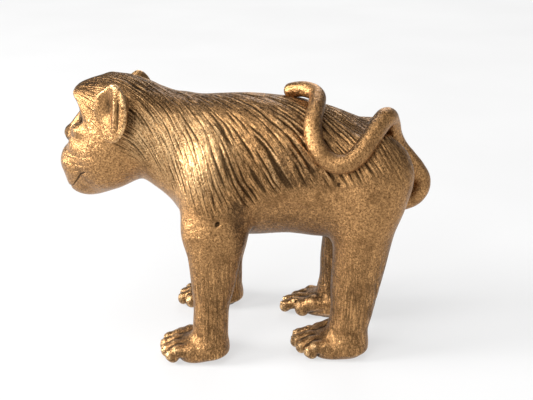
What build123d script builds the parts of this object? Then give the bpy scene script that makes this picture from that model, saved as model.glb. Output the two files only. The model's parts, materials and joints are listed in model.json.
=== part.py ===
"""Standing monkey figurine: a sectional metal casting with a tail looped over its back.

Millimetres, +Z up, head towards -X, the figure's left side towards -Y, soles on Z = 0.
Each casting is lofted through oval sections. A section row gives shares of the sizes that it follows.
"""

import os

from build123d import *

# Castings in general
WALL = 3.0
JOINT_GAP = 0.05
CUT_OVERRUN = 5.0

# Torso, from the chest to the rump
TORSO_LENGTH = 106.5
TORSO_HEIGHT = 63.5
TORSO_WIDTH = 52.0
BELLY_HEIGHT = 49.7
CHEST_SHARE = -0.338
CHEST_TIP_SHARE = 0.50
RUMP_TIP_SHARE = 0.40

# along the length from the chest, bottom and top above the belly, half width
TORSO_SHARES = (
    (0.014, 0.33, 0.78, 0.25),
    (0.047, 0.23, 0.90, 0.35),
    (0.113, 0.09, 0.97, 0.43),
    (0.225, 0.02, 0.99, 0.485),
    (0.357, 0.00, 1.00, 0.50),
    (0.507, 0.02, 0.985, 0.49),
    (0.657, 0.00, 0.935, 0.49),
    (0.789, 0.02, 0.86, 0.48),
    (0.882, 0.08, 0.765, 0.42),
    (0.938, 0.17, 0.655, 0.33),
    (0.979, 0.27, 0.54, 0.20),
)
CAVITY_FIRST = 2
CAVITY_LAST = 8

# Shoulders
SHOULDER_LENGTH = 28.0
SHOULDER_WIDTH = 23.0
SHOULDER_HEIGHT = 40.0
SHOULDER_SPACING = 38.0
SHOULDER_ALONG_SHARE = 0.245
SHOULDER_UP_SHARE = 0.475

# up or down from the middle of the shoulder, share of its full outline
SHOULDER_SHARES = (
    (-0.92, 0.39),
    (-0.70, 0.71),
    (-0.36, 0.93),
    (0.0, 1.0),
    (0.36, 0.93),
    (0.70, 0.71),
    (0.92, 0.39),
)

# Fur on the flanks: the longest of its grooves
FUR_GROOVE_WIDTH = 2.4
FUR_GROOVE_STEPS = 4
FUR_GROOVE_LENGTH_SHARE = 0.16
FUR_GROOVE_TOP_ANGLE = 38.0
FUR_GROOVE_TURN_ANGLE = 42.0
FUR_GROOVE_SHARES = (0.33, 0.45, 0.57)

# Head and neck, from the neck joint to the muzzle
HEAD_LENGTH = 39.5
HEAD_HEIGHT = 55.2
HEAD_WIDTH = 43.0
CHIN_RISE = 16.0
NECK_REACH = 7.0
NECK_AXIS_SHARE = 0.54

# along the head from the neck joint, bottom and top above the chin, half width
NECK_SHARES = (
    (-0.68, 0.31, 0.73, 0.40),
    (-0.38, 0.17, 0.85, 0.47),
    (-0.18, 0.13, 0.90, 0.48),
)
SKULL_SHARES = (
    (0.00, 0.14, 0.945, 0.485),
    (0.17, 0.12, 0.98, 0.49),
    (0.36, 0.17, 1.00, 0.465),
    (0.50, 0.33, 0.98, 0.405),
    (0.62, 0.57, 0.95, 0.32),
    (0.685, 0.69, 0.93, 0.265),
    (0.735, 0.785, 0.915, 0.21),
    (0.765, 0.83, 0.895, 0.14),
)
BROW_TIP_SHARES = (0.78, 0.865)
HEAD_CAVITY_FIRST = 1
HEAD_CAVITY_LAST = 3

# Face: the same four shares, from inside the skull to the lips
MUZZLE_SHARES = (
    (0.07, 0.29, 0.52, 0.15),
    (0.12, 0.22, 0.59, 0.27),
    (0.23, 0.125, 0.67, 0.375),
    (0.38, 0.06, 0.745, 0.43),
    (0.53, 0.01, 0.79, 0.405),
    (0.65, 0.00, 0.735, 0.36),
    (0.76, 0.01, 0.625, 0.315),
    (0.86, 0.04, 0.535, 0.265),
    (0.925, 0.095, 0.455, 0.205),
    (0.96, 0.16, 0.395, 0.15),
    (0.985, 0.22, 0.34, 0.085),
)
MUZZLE_ROOT_SHARES = (0.05, 0.40)
MUZZLE_TIP_SHARE = 0.28
MUZZLE_CAVITY_FIRST = 2
MUZZLE_CAVITY_LAST = 4
EYE_SPACING = 15.0
EYE_DIAMETER = 8.0
EYE_ALONG_SHARE = 0.715
EYE_HEIGHT_SHARE = 0.68
NOSE_DIAMETER = 5.6
CHEEKBONE_DIAMETER = 7.4

# along the head, across its width, above the chin, diameter
NOSE_SHARES = ((0.645, 0, 0.71, 0.85), (0.74, 0, 0.62, 0.93), (0.835, 0, 0.53, 1.0), (0.885, 0, 0.50, 0.8))
NOSE_TIP_SHARES = (0.93, 0, 0.485)
CHEEKBONE_SHARES = (
    (0.48, 0.29, 0.575, 0.75),
    (0.63, 0.235, 0.585, 1.0),
    (0.73, 0.19, 0.585, 0.95),
    (0.785, 0.16, 0.585, 0.60),
)
CHEEKBONE_TIP_SHARES = (0.815, 0.15, 0.585)

# Ears
EAR_HEIGHT = 25.5
EAR_WIDTH = 14.5
EAR_DEPTH = 10.5
EAR_FLOOR = 6.0
EAR_WALL = 1.8
EAR_SPLAY = 20.0
EAR_LEAN = 12.0
EAR_ALONG_SHARE = 0.125
EAR_ROOT_SHARE = 0.31
LEFT_EAR_SHARE = 0.81
RIGHT_EAR_SHARE = 0.72

# depth from the root to the rim, share of the ear's full outline
EAR_SHARES = ((0.0, 0.55), (0.35, 0.72), (0.75, 0.94), (1.0, 1.0))

# Legs
LEG_JOINT_DROP = 1.5
FORE_TOP_SHARE = 0.59
FORE_LENGTH = 29.0
FORE_WIDTH = 21.0
FORE_SETBACK_SHARE = 0.249
FORE_STANCE = 55.0
FORE_LEAN = 12.5
HIND_TOP_SHARE = 0.76
HIND_LENGTH = 32.0
HIND_WIDTH = 24.0
HIND_SETBACK_SHARE = 0.845
HIND_STANCE = 38.0
HIND_LEAN = 8.0
HIND_STAGGER = 6.8

# height from the floor to the top, centre and half length along the leg, half width, lean inwards
FORE_SHARES = (
    (0.06, -0.12, 0.27, 0.39, 0.00),
    (0.15, -0.10, 0.27, 0.36, 0.02),
    (0.25, -0.085, 0.265, 0.35, 0.07),
    (0.38, -0.06, 0.32, 0.39, 0.15),
    (0.53, -0.04, 0.40, 0.44, 0.27),
    (0.66, -0.02, 0.48, 0.485, 0.40),
    (0.82, 0.00, 0.49, 0.50, 0.66),
    (1.00, 0.03, 0.34, 0.33, 1.00),
)
HIND_SHARES = (
    (0.055, -0.21, 0.27, 0.355, 0.00),
    (0.13, -0.195, 0.285, 0.335, 0.00),
    (0.21, -0.16, 0.29, 0.335, 0.04),
    (0.32, -0.115, 0.315, 0.365, 0.12),
    (0.45, -0.065, 0.35, 0.415, 0.22),
    (0.58, -0.025, 0.395, 0.465, 0.32),
    (0.71, 0.03, 0.485, 0.50, 0.47),
    (0.84, 0.06, 0.50, 0.46, 0.65),
    (0.94, 0.015, 0.42, 0.33, 0.85),
    (1.00, -0.06, 0.28, 0.21, 1.00),
)

# Hands and feet
FORE_FOOT_LENGTH = 30.2
HIND_FOOT_LENGTH = 33.5
FOOT_WIDTH = 20.0
FOOT_HEIGHT = 16.0
HEEL_SHARE = 0.62
HEEL_TIP_SHARE = 0.45

# along the foot from the heel, bottom and top, half width
FOOT_SHARES = (
    (0.03, 0.08, 0.75, 0.22),
    (0.12, -0.10, 0.95, 0.36),
    (0.30, -0.15, 1.00, 0.42),
    (0.48, -0.15, 0.85, 0.46),
    (0.64, -0.12, 0.66, 0.47),
    (0.74, 0.00, 0.52, 0.42),
)

# Digits
DIGIT_DIAMETER = 5.2
DIGIT_FAN = 12.0
DIGIT_SPAN_SHARE = 0.70
THUMB_LENGTH = 13.0
THUMB_DIAMETER = 5.6
THUMB_ANGLE = 38.0

# along the digit from its root, height in digit diameters, diameter
DIGIT_SHARES = (
    (0.0, 1.25, 0.90),
    (0.35, 1.20, 0.95),
    (0.55, 0.95, 1.00),
    (0.80, 0.60, 0.92),
    (0.95, 0.50, 0.62),
)
DIGIT_TIP_SHARE = 0.46
DIGIT_ROOT_SHARE = 0.58

# lengths from the outermost digit to the innermost
DIGIT_LENGTH_SHARES = (0.62, 0.88, 1.0, 0.97)
THUMB_ROOT_SHARE = 0.41

# Tail
TAIL_DIAMETER = 9.0
TAIL_TIP_SHARE = 0.72

# along, across and up: shares of the torso's length, width and height
TAIL_SHARES = (
    (0.955, 0, 0.26),
    (1.01, 0.01, 0.27),
    (1.055, 0.02, 0.315),
    (1.07, 0.04, 0.39),
    (1.05, 0.04, 0.48),
    (1.01, 0.04, 0.56),
    (0.98, 0.03, 0.64),
    (0.95, 0, 0.73),
    (0.935, -0.06, 0.82),
    (0.92, -0.145, 0.875),
    (0.90, -0.235, 0.84),
    (0.855, -0.36, 0.77),
    (0.805, -0.475, 0.69),
    (0.755, -0.515, 0.645),
    (0.69, -0.51, 0.67),
    (0.645, -0.475, 0.745),
    (0.625, -0.415, 0.835),
    (0.625, -0.325, 0.91),
    (0.64, -0.195, 0.97),
    (0.635, -0.06, 1.01),
    (0.595, 0.03, 1.025),
    (0.55, 0.08, 1.015),
    (0.52, 0.115, 1.0),
)
TAIL_ROUNDING_SHARES = ((0.55, 0.86), (0.90, 0.50))
TAIL_END_SHARE = 1.05
TAIL_REST_POINTS = (13, 21)
REST_PIN_AIM_SHARE = 0.50

# Fixings
LEG_DOWEL_DIAMETER = 6.0
LEG_DOWEL_LENGTH = 20.0
LOCATING_PIN_DIAMETER = 2.5
LOCATING_PIN_LENGTH = 10.0
LOCATING_PIN_OFFSET = 6.5
SLEEVE_DIAMETER = 18.0
SLEEVE_WALL = 2.5
SLEEVE_LENGTH = 20.0
NECK_PIN_DIAMETER = 2.5
NECK_PIN_COUNT = 4
NECK_PIN_SHARE = 0.25
TAIL_DOWEL_DIAMETER = 4.0
TAIL_DOWEL_LENGTH = 14.0
REST_PIN_DIAMETER = 2.0
EAR_PIN_DIAMETER = 2.0
EAR_PIN_LENGTH = 8.0
CORE_PLUG_DIAMETER = 13.0
CORE_PLUG_ALONG_SHARE = 0.52
CORE_PLUG_REACH_SHARE = 0.10
CORE_PIN_DIAMETER = 3.0
CORE_PIN_SHARES = ((0.265, 0.235), (0.735, 0.50))

# Felt pads
PAD_LENGTH = 13.0
PAD_WIDTH = 9.0
PAD_THICKNESS = 1.2
PAD_RECESS = 0.6

# Places worked out from the sizes above
CHEST_X = CHEST_SHARE * TORSO_LENGTH
NECK_X = CHEST_X - NECK_REACH
CHIN_HEIGHT = BELLY_HEIGHT + CHIN_RISE
NECK_Z = CHIN_HEIGHT + NECK_AXIS_SHARE * HEAD_HEIGHT
LEG_JOINT_Z = BELLY_HEIGHT - LEG_JOINT_DROP
SOLE_Z = PAD_THICKNESS - PAD_RECESS
LEFT, RIGHT = -1, 1
SIDE_NAMES = {LEFT: "left", RIGHT: "right"}
LEGS = [(fore, side) for fore in (True, False) for side in (LEFT, RIGHT)]


def large_block():
    """A block larger than the figure, for parting one casting from the next."""
    size = 2 * (TORSO_LENGTH + HEAD_LENGTH)
    return Box(size, size, size), size


def below(z):
    block, size = large_block()
    return Pos(0, 0, z - size / 2) * block


def ahead_of(x):
    block, size = large_block()
    return Pos(x - size / 2, 0, NECK_Z) * block


def oval(plane, half_width, half_height):
    """One oval face, half_width along the plane's x and half_height along its y."""
    return plane * Ellipse(half_width, half_height)


def upright_plane(x, z):
    """A plane across the figure: its x is along Y, its y is up."""
    return Plane(origin=(x, 0, z), x_dir=(0, 1, 0), z_dir=(1, 0, 0))


def upright_oval(x, low, high, half_width, inset=0):
    return oval(upright_plane(x, (low + high) / 2), half_width - inset, (high - low) / 2 - inset)


def rod(points, diameters, tip):
    """A tapering rod: circles square to the route through points, closed at the far end in a point."""
    route = [Vector(p) for p in points]
    sections = []
    side = None
    for i, (here, diameter) in enumerate(zip(route, diameters)):
        before = route[max(i - 1, 0)]
        after = route[i + 1] if i + 1 < len(route) else Vector(tip)
        along = (after - before).normalized()
        first_side = Vector(0, 0, 1).cross(along) if side is None else side
        side = (first_side - along * first_side.dot(along)).normalized()
        plane = Plane(origin=here, x_dir=side, z_dir=along)
        sections.append(plane * Circle(diameter / 2))
    return loft([*sections, Vertex(*tip)])


def cylinder_between(start, end, diameter):
    axis = Vector(*end) - Vector(*start)
    plane = Plane(origin=start, z_dir=axis)
    return extrude(plane * Circle(diameter / 2), axis.length)


def pin_and_bore(start, end, diameter):
    """A round pin and the bore that it sits in with the joint gap all round."""
    direction = (Vector(*end) - Vector(*start)).normalized() * JOINT_GAP
    bore_start = tuple(Vector(*start) - direction)
    bore_end = tuple(Vector(*end) + direction)
    bore_diameter = diameter + 2 * JOINT_GAP
    return cylinder_between(start, end, diameter), cylinder_between(bore_start, bore_end, bore_diameter)


# Torso
def torso_x(along):
    return CHEST_X + along * TORSO_LENGTH


def torso_z(up):
    return BELLY_HEIGHT + up * TORSO_HEIGHT


def torso_section(row, inset=0):
    along, low, high, half_width = row
    return upright_oval(torso_x(along), torso_z(low), torso_z(high), half_width * TORSO_WIDTH, inset)


def torso_form():
    chest_tip = Vertex(CHEST_X, 0, torso_z(CHEST_TIP_SHARE))
    rump_tip = Vertex(torso_x(1), 0, torso_z(RUMP_TIP_SHARE))
    return loft([chest_tip, *(torso_section(row) for row in TORSO_SHARES), rump_tip])


def torso_cavity():
    rows = TORSO_SHARES[CAVITY_FIRST : CAVITY_LAST + 1]
    return loft([torso_section(row, WALL) for row in rows])


def shoulder_form(side):
    """The muscle over a foreleg, which swells out of the barrel."""
    x, y = torso_x(SHOULDER_ALONG_SHARE), side * SHOULDER_SPACING / 2
    z, half = torso_z(SHOULDER_UP_SHARE), SHOULDER_HEIGHT / 2
    sections = []
    for up, outline in SHOULDER_SHARES:
        level = Plane((x, y, z + up * half))
        sections.append(oval(level, outline * SHOULDER_LENGTH / 2, outline * SHOULDER_WIDTH / 2))
    return loft([Vertex(x, y, z - half), *sections, Vertex(x, y, z + half)])


def flank_point(side, along, turn):
    """A place on the barrel's skin, turn degrees down from the spine."""
    before, after = next(pair for pair in zip(TORSO_SHARES, TORSO_SHARES[1:]) if pair[1][0] >= along)
    share = (along - before[0]) / (after[0] - before[0])
    _, low, high, half_width = (a + share * (b - a) for a, b in zip(before, after))
    out = Vector(0, 0, 1).rotate(Axis.X, -side * turn)
    z = torso_z((low + high) / 2 + out.Z * (high - low) / 2)
    return torso_x(along), out.Y * half_width * TORSO_WIDTH, z


def fur_groove(side, start):
    """A round-bottomed groove half sunk in the flank, running down and back from the spine."""
    points = []
    for i in range(FUR_GROOVE_STEPS + 1):
        share = i / FUR_GROOVE_STEPS
        along = start + share * FUR_GROOVE_LENGTH_SHARE
        turn = FUR_GROOVE_TOP_ANGLE + share * FUR_GROOVE_TURN_ANGLE
        points.append(flank_point(side, along, turn))
    return rod(points[:-1], [FUR_GROOVE_WIDTH] * FUR_GROOVE_STEPS, points[-1])


# Head and neck
def head_x(along):
    return NECK_X - along * HEAD_LENGTH


def head_z(up):
    return CHIN_HEIGHT + up * HEAD_HEIGHT


def head_section(row, inset=0):
    along, low, high, half_width = row
    return upright_oval(head_x(along), head_z(low), head_z(high), half_width * HEAD_WIDTH, inset)


def head_point(along, across, up):
    return head_x(along), across * HEAD_WIDTH, head_z(up)


def head_form():
    """Neck and skull to the tip of the brow as one body, which the neck joint divides."""
    along, up = BROW_TIP_SHARES
    tip = Vertex(head_x(along), 0, head_z(up))
    return loft([*(head_section(row) for row in NECK_SHARES + SKULL_SHARES), tip])


def muzzle_form():
    """Jaw, cheeks and lips, which stand out under the brow."""
    along, up = MUZZLE_ROOT_SHARES
    root = Vertex(head_x(along), 0, head_z(up))
    tip = Vertex(head_x(1), 0, head_z(MUZZLE_TIP_SHARE))
    return loft([root, *(head_section(row) for row in MUZZLE_SHARES), tip])


def head_cavities():
    """The hollow of the skull and that of the muzzle, which run into each other."""
    skull = SKULL_SHARES[HEAD_CAVITY_FIRST : HEAD_CAVITY_LAST + 1]
    muzzle = MUZZLE_SHARES[MUZZLE_CAVITY_FIRST : MUZZLE_CAVITY_LAST + 1]
    return [loft([head_section(row, WALL) for row in rows]) for rows in (skull, muzzle)]


def face_rod(rows, tip, diameter, side=1):
    """A ridge on the face, through rows of shares to its tip."""
    points = [head_point(along, side * across, up) for along, across, up, _ in rows]
    along, across, up = tip
    return rod(points, [row[3] * diameter for row in rows], head_point(along, side * across, up))


def face_forms():
    """Everything that stands out of the skull: muzzle, nose and both cheekbones."""
    nose = face_rod(NOSE_SHARES, NOSE_TIP_SHARES, NOSE_DIAMETER)
    cheekbones = [
        face_rod(CHEEKBONE_SHARES, CHEEKBONE_TIP_SHARES, CHEEKBONE_DIAMETER, side) for side in (LEFT, RIGHT)
    ]
    return [muzzle_form(), nose, *cheekbones]


def eye_socket(side):
    place = Pos(head_x(EYE_ALONG_SHARE), side * EYE_SPACING / 2, head_z(EYE_HEIGHT_SHARE))
    return place * Sphere(EYE_DIAMETER / 2)


# Ears
def ear_plane(side):
    """The ear's own frame: z out of the ear's mouth, y up the ear."""
    up = LEFT_EAR_SHARE if side == LEFT else RIGHT_EAR_SHARE
    origin = (head_x(EAR_ALONG_SHARE), side * EAR_ROOT_SHARE * HEAD_WIDTH, head_z(up))
    out = Vector(0, side, 0).rotate(Axis.X, -side * EAR_LEAN).rotate(Axis.Z, side * EAR_SPLAY)
    return Plane(origin=origin, x_dir=Vector(0, 0, 1).cross(out), z_dir=out)


def ear_form(side, inset, start):
    plane = ear_plane(side)
    sections = []
    for depth, outline in EAR_SHARES:
        half_width = outline * EAR_WIDTH / 2 - inset
        half_height = outline * EAR_HEIGHT / 2 - inset
        level = plane.offset(start + depth * (EAR_DEPTH - start))
        sections.append(oval(level, half_width, half_height))
    return loft(sections)


def ear_shell(side):
    mouth = ear_form(side, EAR_WALL, EAR_FLOOR)
    return ear_form(side, 0, 0) - mouth


# Legs
def leg_row(row, fore, side):
    """Centre, half length and half width of a leg section."""
    height, centre, half_length, half_width, lean = row
    top, length, width, setback, stance, lean_in = (
        (FORE_TOP_SHARE, FORE_LENGTH, FORE_WIDTH, FORE_SETBACK_SHARE, FORE_STANCE, FORE_LEAN)
        if fore
        else (HIND_TOP_SHARE, HIND_LENGTH, HIND_WIDTH, HIND_SETBACK_SHARE, HIND_STANCE, HIND_LEAN)
    )
    stagger = HIND_STAGGER if side == RIGHT and not fore else 0
    x = torso_x(setback) + centre * length - stagger * (1 - lean)
    y = side * (stance / 2 - lean * lean_in)
    return (x, y, height * torso_z(top)), half_length * length, half_width * width


def leg_form(fore, side):
    sections = []
    for row in FORE_SHARES if fore else HIND_SHARES:
        origin, half_length, half_width = leg_row(row, fore, side)
        sections.append(oval(Plane(origin), half_length, half_width))
    return loft(sections)


def joint_centre(fore, side):
    """Where the leg's axis crosses the leg joint."""
    centres = [leg_row(row, fore, side)[0] for row in (FORE_SHARES if fore else HIND_SHARES)]
    low, high = next(pair for pair in zip(centres, centres[1:]) if pair[1][2] >= LEG_JOINT_Z)
    share = (LEG_JOINT_Z - low[2]) / (high[2] - low[2])
    return low[0] + share * (high[0] - low[0]), low[1] + share * (high[1] - low[1])


def foot_frame(fore, side):
    """The ankle's centre, the foot's length and where its heel is."""
    centre, half_length, _ = leg_row((FORE_SHARES if fore else HIND_SHARES)[0], fore, side)
    length = FORE_FOOT_LENGTH if fore else HIND_FOOT_LENGTH
    heel_x = centre[0] + half_length
    return centre, length, heel_x


def foot_form(fore, side):
    centre, length, heel_x = foot_frame(fore, side)
    sections = [Vertex(heel_x, centre[1], SOLE_Z + HEEL_TIP_SHARE * FOOT_HEIGHT)]
    for along, low, high, half_width in FOOT_SHARES:
        z_low, z_high = SOLE_Z + low * FOOT_HEIGHT, SOLE_Z + high * FOOT_HEIGHT
        section = upright_oval(heel_x - along * length, z_low, z_high, half_width * FOOT_WIDTH)
        sections.append(Pos(0, centre[1], 0) * section)
    return loft(sections)


def digit(root, heading, length, diameter):
    """A bent digit on the floor, heading degrees away from straight ahead."""
    ahead = Vector(-1, 0, 0).rotate(Axis.Z, heading)
    points, diameters = [], []
    for along, up, thick in DIGIT_SHARES:
        flat = Vector(*root) + ahead * (along * length)
        points.append((flat.X, flat.Y, SOLE_Z + up * diameter))
        diameters.append(thick * diameter)
    end = Vector(*root) + ahead * length
    return rod(points, diameters, (end.X, end.Y, SOLE_Z + DIGIT_TIP_SHARE * diameter))


def digits(fore, side):
    """Four digits side by side and the thumb or big toe on the inner edge."""
    centre, length, heel_x = foot_frame(fore, side)
    reach = length * (1 - DIGIT_ROOT_SHARE)
    span = DIGIT_SPAN_SHARE * FOOT_WIDTH
    made = []
    for i, share in enumerate(DIGIT_LENGTH_SHARES):
        outwards = side * (1 / 2 - i / (len(DIGIT_LENGTH_SHARES) - 1))
        root = (heel_x - DIGIT_ROOT_SHARE * length, centre[1] + outwards * span, 0)
        made.append(digit(root, -outwards * DIGIT_FAN, share * reach, DIGIT_DIAMETER))
    thumb_root = (heel_x - THUMB_ROOT_SHARE * length, centre[1] - side * span / 2, 0)
    made.append(digit(thumb_root, side * THUMB_ANGLE, THUMB_LENGTH, THUMB_DIAMETER))
    return made


def felt_pad(fore, side, gap=0):
    """The felt let into a sole, or with a gap the seat that it is glued in."""
    centre, length, heel_x = foot_frame(fore, side)
    outline = Ellipse(PAD_LENGTH / 2 + gap, PAD_WIDTH / 2 + gap)
    return extrude(Pos(heel_x - HEEL_SHARE * length / 2, centre[1], 0) * outline, PAD_THICKNESS)


# Tail
def tail_point(row):
    along, across, up = row
    return torso_x(along), across * TORSO_WIDTH, torso_z(up)


def tail_form():
    points = [tail_point(row) for row in TAIL_SHARES]
    last = len(points) - 1
    thick = [TAIL_DIAMETER * (1 - (1 - TAIL_TIP_SHARE) * (i / last) ** 2) for i in range(last + 1)]
    ahead = (Vector(*points[-1]) - Vector(*points[-2])).normalized() * thick[-1] / 2
    for along, share in TAIL_ROUNDING_SHARES:
        points.append(tuple(Vector(*points[last]) + ahead * along))
        thick.append(thick[last] * share)
    return rod(points, thick, tuple(Vector(*points[last]) + ahead * TAIL_END_SHARE))


def tail_dowel_ends():
    """From inside the rump to inside the tail, along the tail's first stretch."""
    root, after = Vector(*tail_point(TAIL_SHARES[0])), Vector(*tail_point(TAIL_SHARES[1]))
    along = (after - root).normalized() * (TAIL_DOWEL_LENGTH / 2)
    return tuple(root - along), tuple(root + along)


def rest_pin_ends():
    """Short pins from the middle of the tail through the wall that it lies on."""
    ends = []
    for i in TAIL_REST_POINTS:
        start = Vector(*tail_point(TAIL_SHARES[i]))
        inward = (Vector(start.X, 0, torso_z(REST_PIN_AIM_SHARE)) - start).normalized()
        ends.append((tuple(start), tuple(start + inward * (TAIL_DIAMETER / 2 + WALL))))
    return ends


# Fixings
def leg_name(fore, side):
    return SIDE_NAMES[side] + ("_foreleg" if fore else "_hind_leg")


def upright_pin(x, y, diameter, length):
    """A pin that stands half in the leg and half in the torso."""
    return pin_and_bore((x, y, LEG_JOINT_Z - length / 2), (x, y, LEG_JOINT_Z + length / 2), diameter)


def leg_fixings(fore, side):
    """The dowel in the leg's axis and the pin ahead of it that stops the leg turning."""
    x, y = joint_centre(fore, side)
    name = leg_name(fore, side)
    return {
        name + "_dowel": upright_pin(x, y, LEG_DOWEL_DIAMETER, LEG_DOWEL_LENGTH),
        name + "_locating_pin": upright_pin(
            x - LOCATING_PIN_OFFSET, y, LOCATING_PIN_DIAMETER, LOCATING_PIN_LENGTH
        ),
    }


def neck_sleeve_and_bore():
    """A tube in both halves of the neck, and the stepped bore from one hollow to the other."""
    half = SLEEVE_LENGTH / 2
    start, end = (NECK_X - half, 0, NECK_Z), (NECK_X + half, 0, NECK_Z)
    tube, seat = pin_and_bore(start, end, SLEEVE_DIAMETER)
    ahead = (head_x(SKULL_SHARES[HEAD_CAVITY_FIRST][0]) - CUT_OVERRUN, 0, NECK_Z)
    behind = (torso_x(TORSO_SHARES[CAVITY_FIRST][0]) + CUT_OVERRUN, 0, NECK_Z)
    passage = cylinder_between(ahead, behind, SLEEVE_DIAMETER - 2 * SLEEVE_WALL)
    return tube - passage, seat + passage


def neck_pin(i):
    """A pin from the skin of the neck through the sleeve, by turns in the head and in the torso."""
    x = NECK_X + NECK_PIN_SHARE * SLEEVE_LENGTH * (-1) ** i
    outward = Vector(0, 0, HEAD_HEIGHT).rotate(Axis.X, i * 360 / NECK_PIN_COUNT)
    inner = outward.normalized() * (SLEEVE_DIAMETER / 2 - SLEEVE_WALL)
    axis_point = Vector(x, 0, NECK_Z)
    return pin_and_bore(tuple(axis_point + inner), tuple(axis_point + outward), NECK_PIN_DIAMETER)


def ear_pin(side):
    """A pin square to the ear's root, from under the floor of the ear into the skull."""
    plane = ear_plane(side)
    outer = plane.origin + plane.z_dir * (EAR_FLOOR - EAR_WALL / 2)
    return pin_and_bore(tuple(outer - plane.z_dir * EAR_PIN_LENGTH), tuple(outer), EAR_PIN_DIAMETER)


def core_plug():
    """The round plug in the belly where the casting core was dug out."""
    x = torso_x(CORE_PLUG_ALONG_SHARE)
    low, high = torso_z(-CORE_PLUG_REACH_SHARE), torso_z(CORE_PLUG_REACH_SHARE)
    return pin_and_bore((x, 0, low), (x, 0, high), CORE_PLUG_DIAMETER)


def core_pin_plug(along, up):
    """A small plug in the left flank where a core pin was drawn out."""
    x, z = torso_x(along), torso_z(up)
    return pin_and_bore((x, -TORSO_WIDTH, z), (x, -TORSO_WIDTH / 4, z), CORE_PIN_DIAMETER)


# Finished castings
def torso_outside(head):
    """The barrel with the root of the neck, the shoulders and the tops of the four legs."""
    tops = [leg_form(fore, side) - below(LEG_JOINT_Z) for fore, side in LEGS]
    shoulders = [shoulder_form(side) for side in (LEFT, RIGHT)]
    return torso_form() + [head - ahead_of(NECK_X), *shoulders, *tops]


def head_outside(head):
    skull = (head + face_forms()) & ahead_of(NECK_X)
    return skull - [eye_socket(side) for side in (LEFT, RIGHT)]


def leg_casting(fore, side, bores):
    shank = leg_form(fore, side) & below(LEG_JOINT_Z)
    leg = shank + [foot_form(fore, side), *digits(fore, side)]
    return leg - [below(SOLE_Z), felt_pad(fore, side, JOINT_GAP), *bores]


def leg_pieces():
    """The four legs with their dowels, pins and pads, and the bores that they need in the torso."""
    pieces, torso_bores = {}, []
    for fore, side in LEGS:
        name = leg_name(fore, side)
        fixings = leg_fixings(fore, side)
        bores = [bore for _, bore in fixings.values()]
        pieces |= {pin_name: pin for pin_name, (pin, _) in fixings.items()}
        pieces[name] = leg_casting(fore, side, bores)
        pieces[name + "_pad"] = felt_pad(fore, side)
        torso_bores += bores
    return pieces, torso_bores


def neck_pieces(head):
    """The sleeve and its pins, and the bores that they need on both sides of the neck joint."""
    sleeve, sleeve_bore = neck_sleeve_and_bore()
    pins = [neck_pin(i) for i in range(NECK_PIN_COUNT)]
    bores = [bore for _, bore in pins]
    pieces = {f"neck_pin_{i + 1}": pin & head for i, (pin, _) in enumerate(pins)}
    pieces["neck_sleeve"] = sleeve - bores
    return pieces, [sleeve_bore, *bores]


def ear_pieces(skull):
    """Both ears, seated on the skull, with their pins and the bores for them."""
    pieces, bores = {}, []
    for side in (LEFT, RIGHT):
        pin, bore = ear_pin(side)
        pieces[SIDE_NAMES[side] + "_ear"] = ear_shell(side) - [skull, bore]
        pieces[SIDE_NAMES[side] + "_ear_pin"] = pin
        bores.append(bore)
    return pieces, bores


def tail_pieces(torso):
    """The tail, seated where it lies on the torso, with its dowel, its pins and their bores."""
    fixings = {"tail_dowel": pin_and_bore(*tail_dowel_ends(), TAIL_DOWEL_DIAMETER)}
    for i, ends in enumerate(rest_pin_ends()):
        fixings[f"tail_rest_pin_{i + 1}"] = pin_and_bore(*ends, REST_PIN_DIAMETER)
    pieces = {name: pin for name, (pin, _) in fixings.items()}
    bores = [bore for _, bore in fixings.values()]
    pieces["tail"] = tail_form() - [torso, *bores]
    return pieces, bores


def plug_pieces(wall):
    """The plugs in the torso's wall, flush inside and out, and their bores."""
    plugs = {"belly_core_plug": core_plug()}
    for i, (along, up) in enumerate(CORE_PIN_SHARES):
        plugs[f"core_pin_plug_{i + 1}"] = core_pin_plug(along, up)
    return {name: plug & wall for name, (plug, _) in plugs.items()}, [bore for _, bore in plugs.values()]


def build():
    """Every piece by name, in place."""
    head = head_form()
    torso = torso_outside(head)
    skull = head_outside(head)
    wall = torso - torso_cavity()
    legs, leg_bores = leg_pieces()
    neck, neck_bores = neck_pieces(head)
    ears, ear_bores = ear_pieces(skull)
    tail, tail_bores = tail_pieces(torso)
    plugs, plug_bores = plug_pieces(wall)
    grooves = [fur_groove(side, start) for side in (LEFT, RIGHT) for start in FUR_GROOVE_SHARES]
    castings = {
        "torso_casting": wall - [*grooves, *leg_bores, *neck_bores, *tail_bores, *plug_bores],
        "head_casting": skull - [*head_cavities(), *neck_bores, *ear_bores],
    }
    return castings | legs | neck | ears | tail | plugs


def to_bottom_centre(pieces):
    """Moves the figure so that the origin is under the middle of its box."""
    box = Compound(list(pieces.values())).bounding_box()
    shift = Pos(-box.center().X, -box.center().Y, -box.min.Z)
    return {name: shift * piece for name, piece in pieces.items()}


if __name__ == "__main__":
    os.makedirs("parts", exist_ok=True)
    for name, piece in to_bottom_centre(build()).items():
        export_step(piece, f"parts/{name}.step")
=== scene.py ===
# %% [markdown]
# # A cast bronze monkey
# This is a shelf ornament: a monkey on four thick legs, with its tail looped over its back.
# A foundry carves such a figure in wax, casts it hollow in sections, joins those with pins,
# browns the metal and rubs the high places bright again. The lesson goes the same way:
# clay first, then the carved fur, then the patina.

# %% Load the frame
import json
import math
from collections import namedtuple

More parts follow.
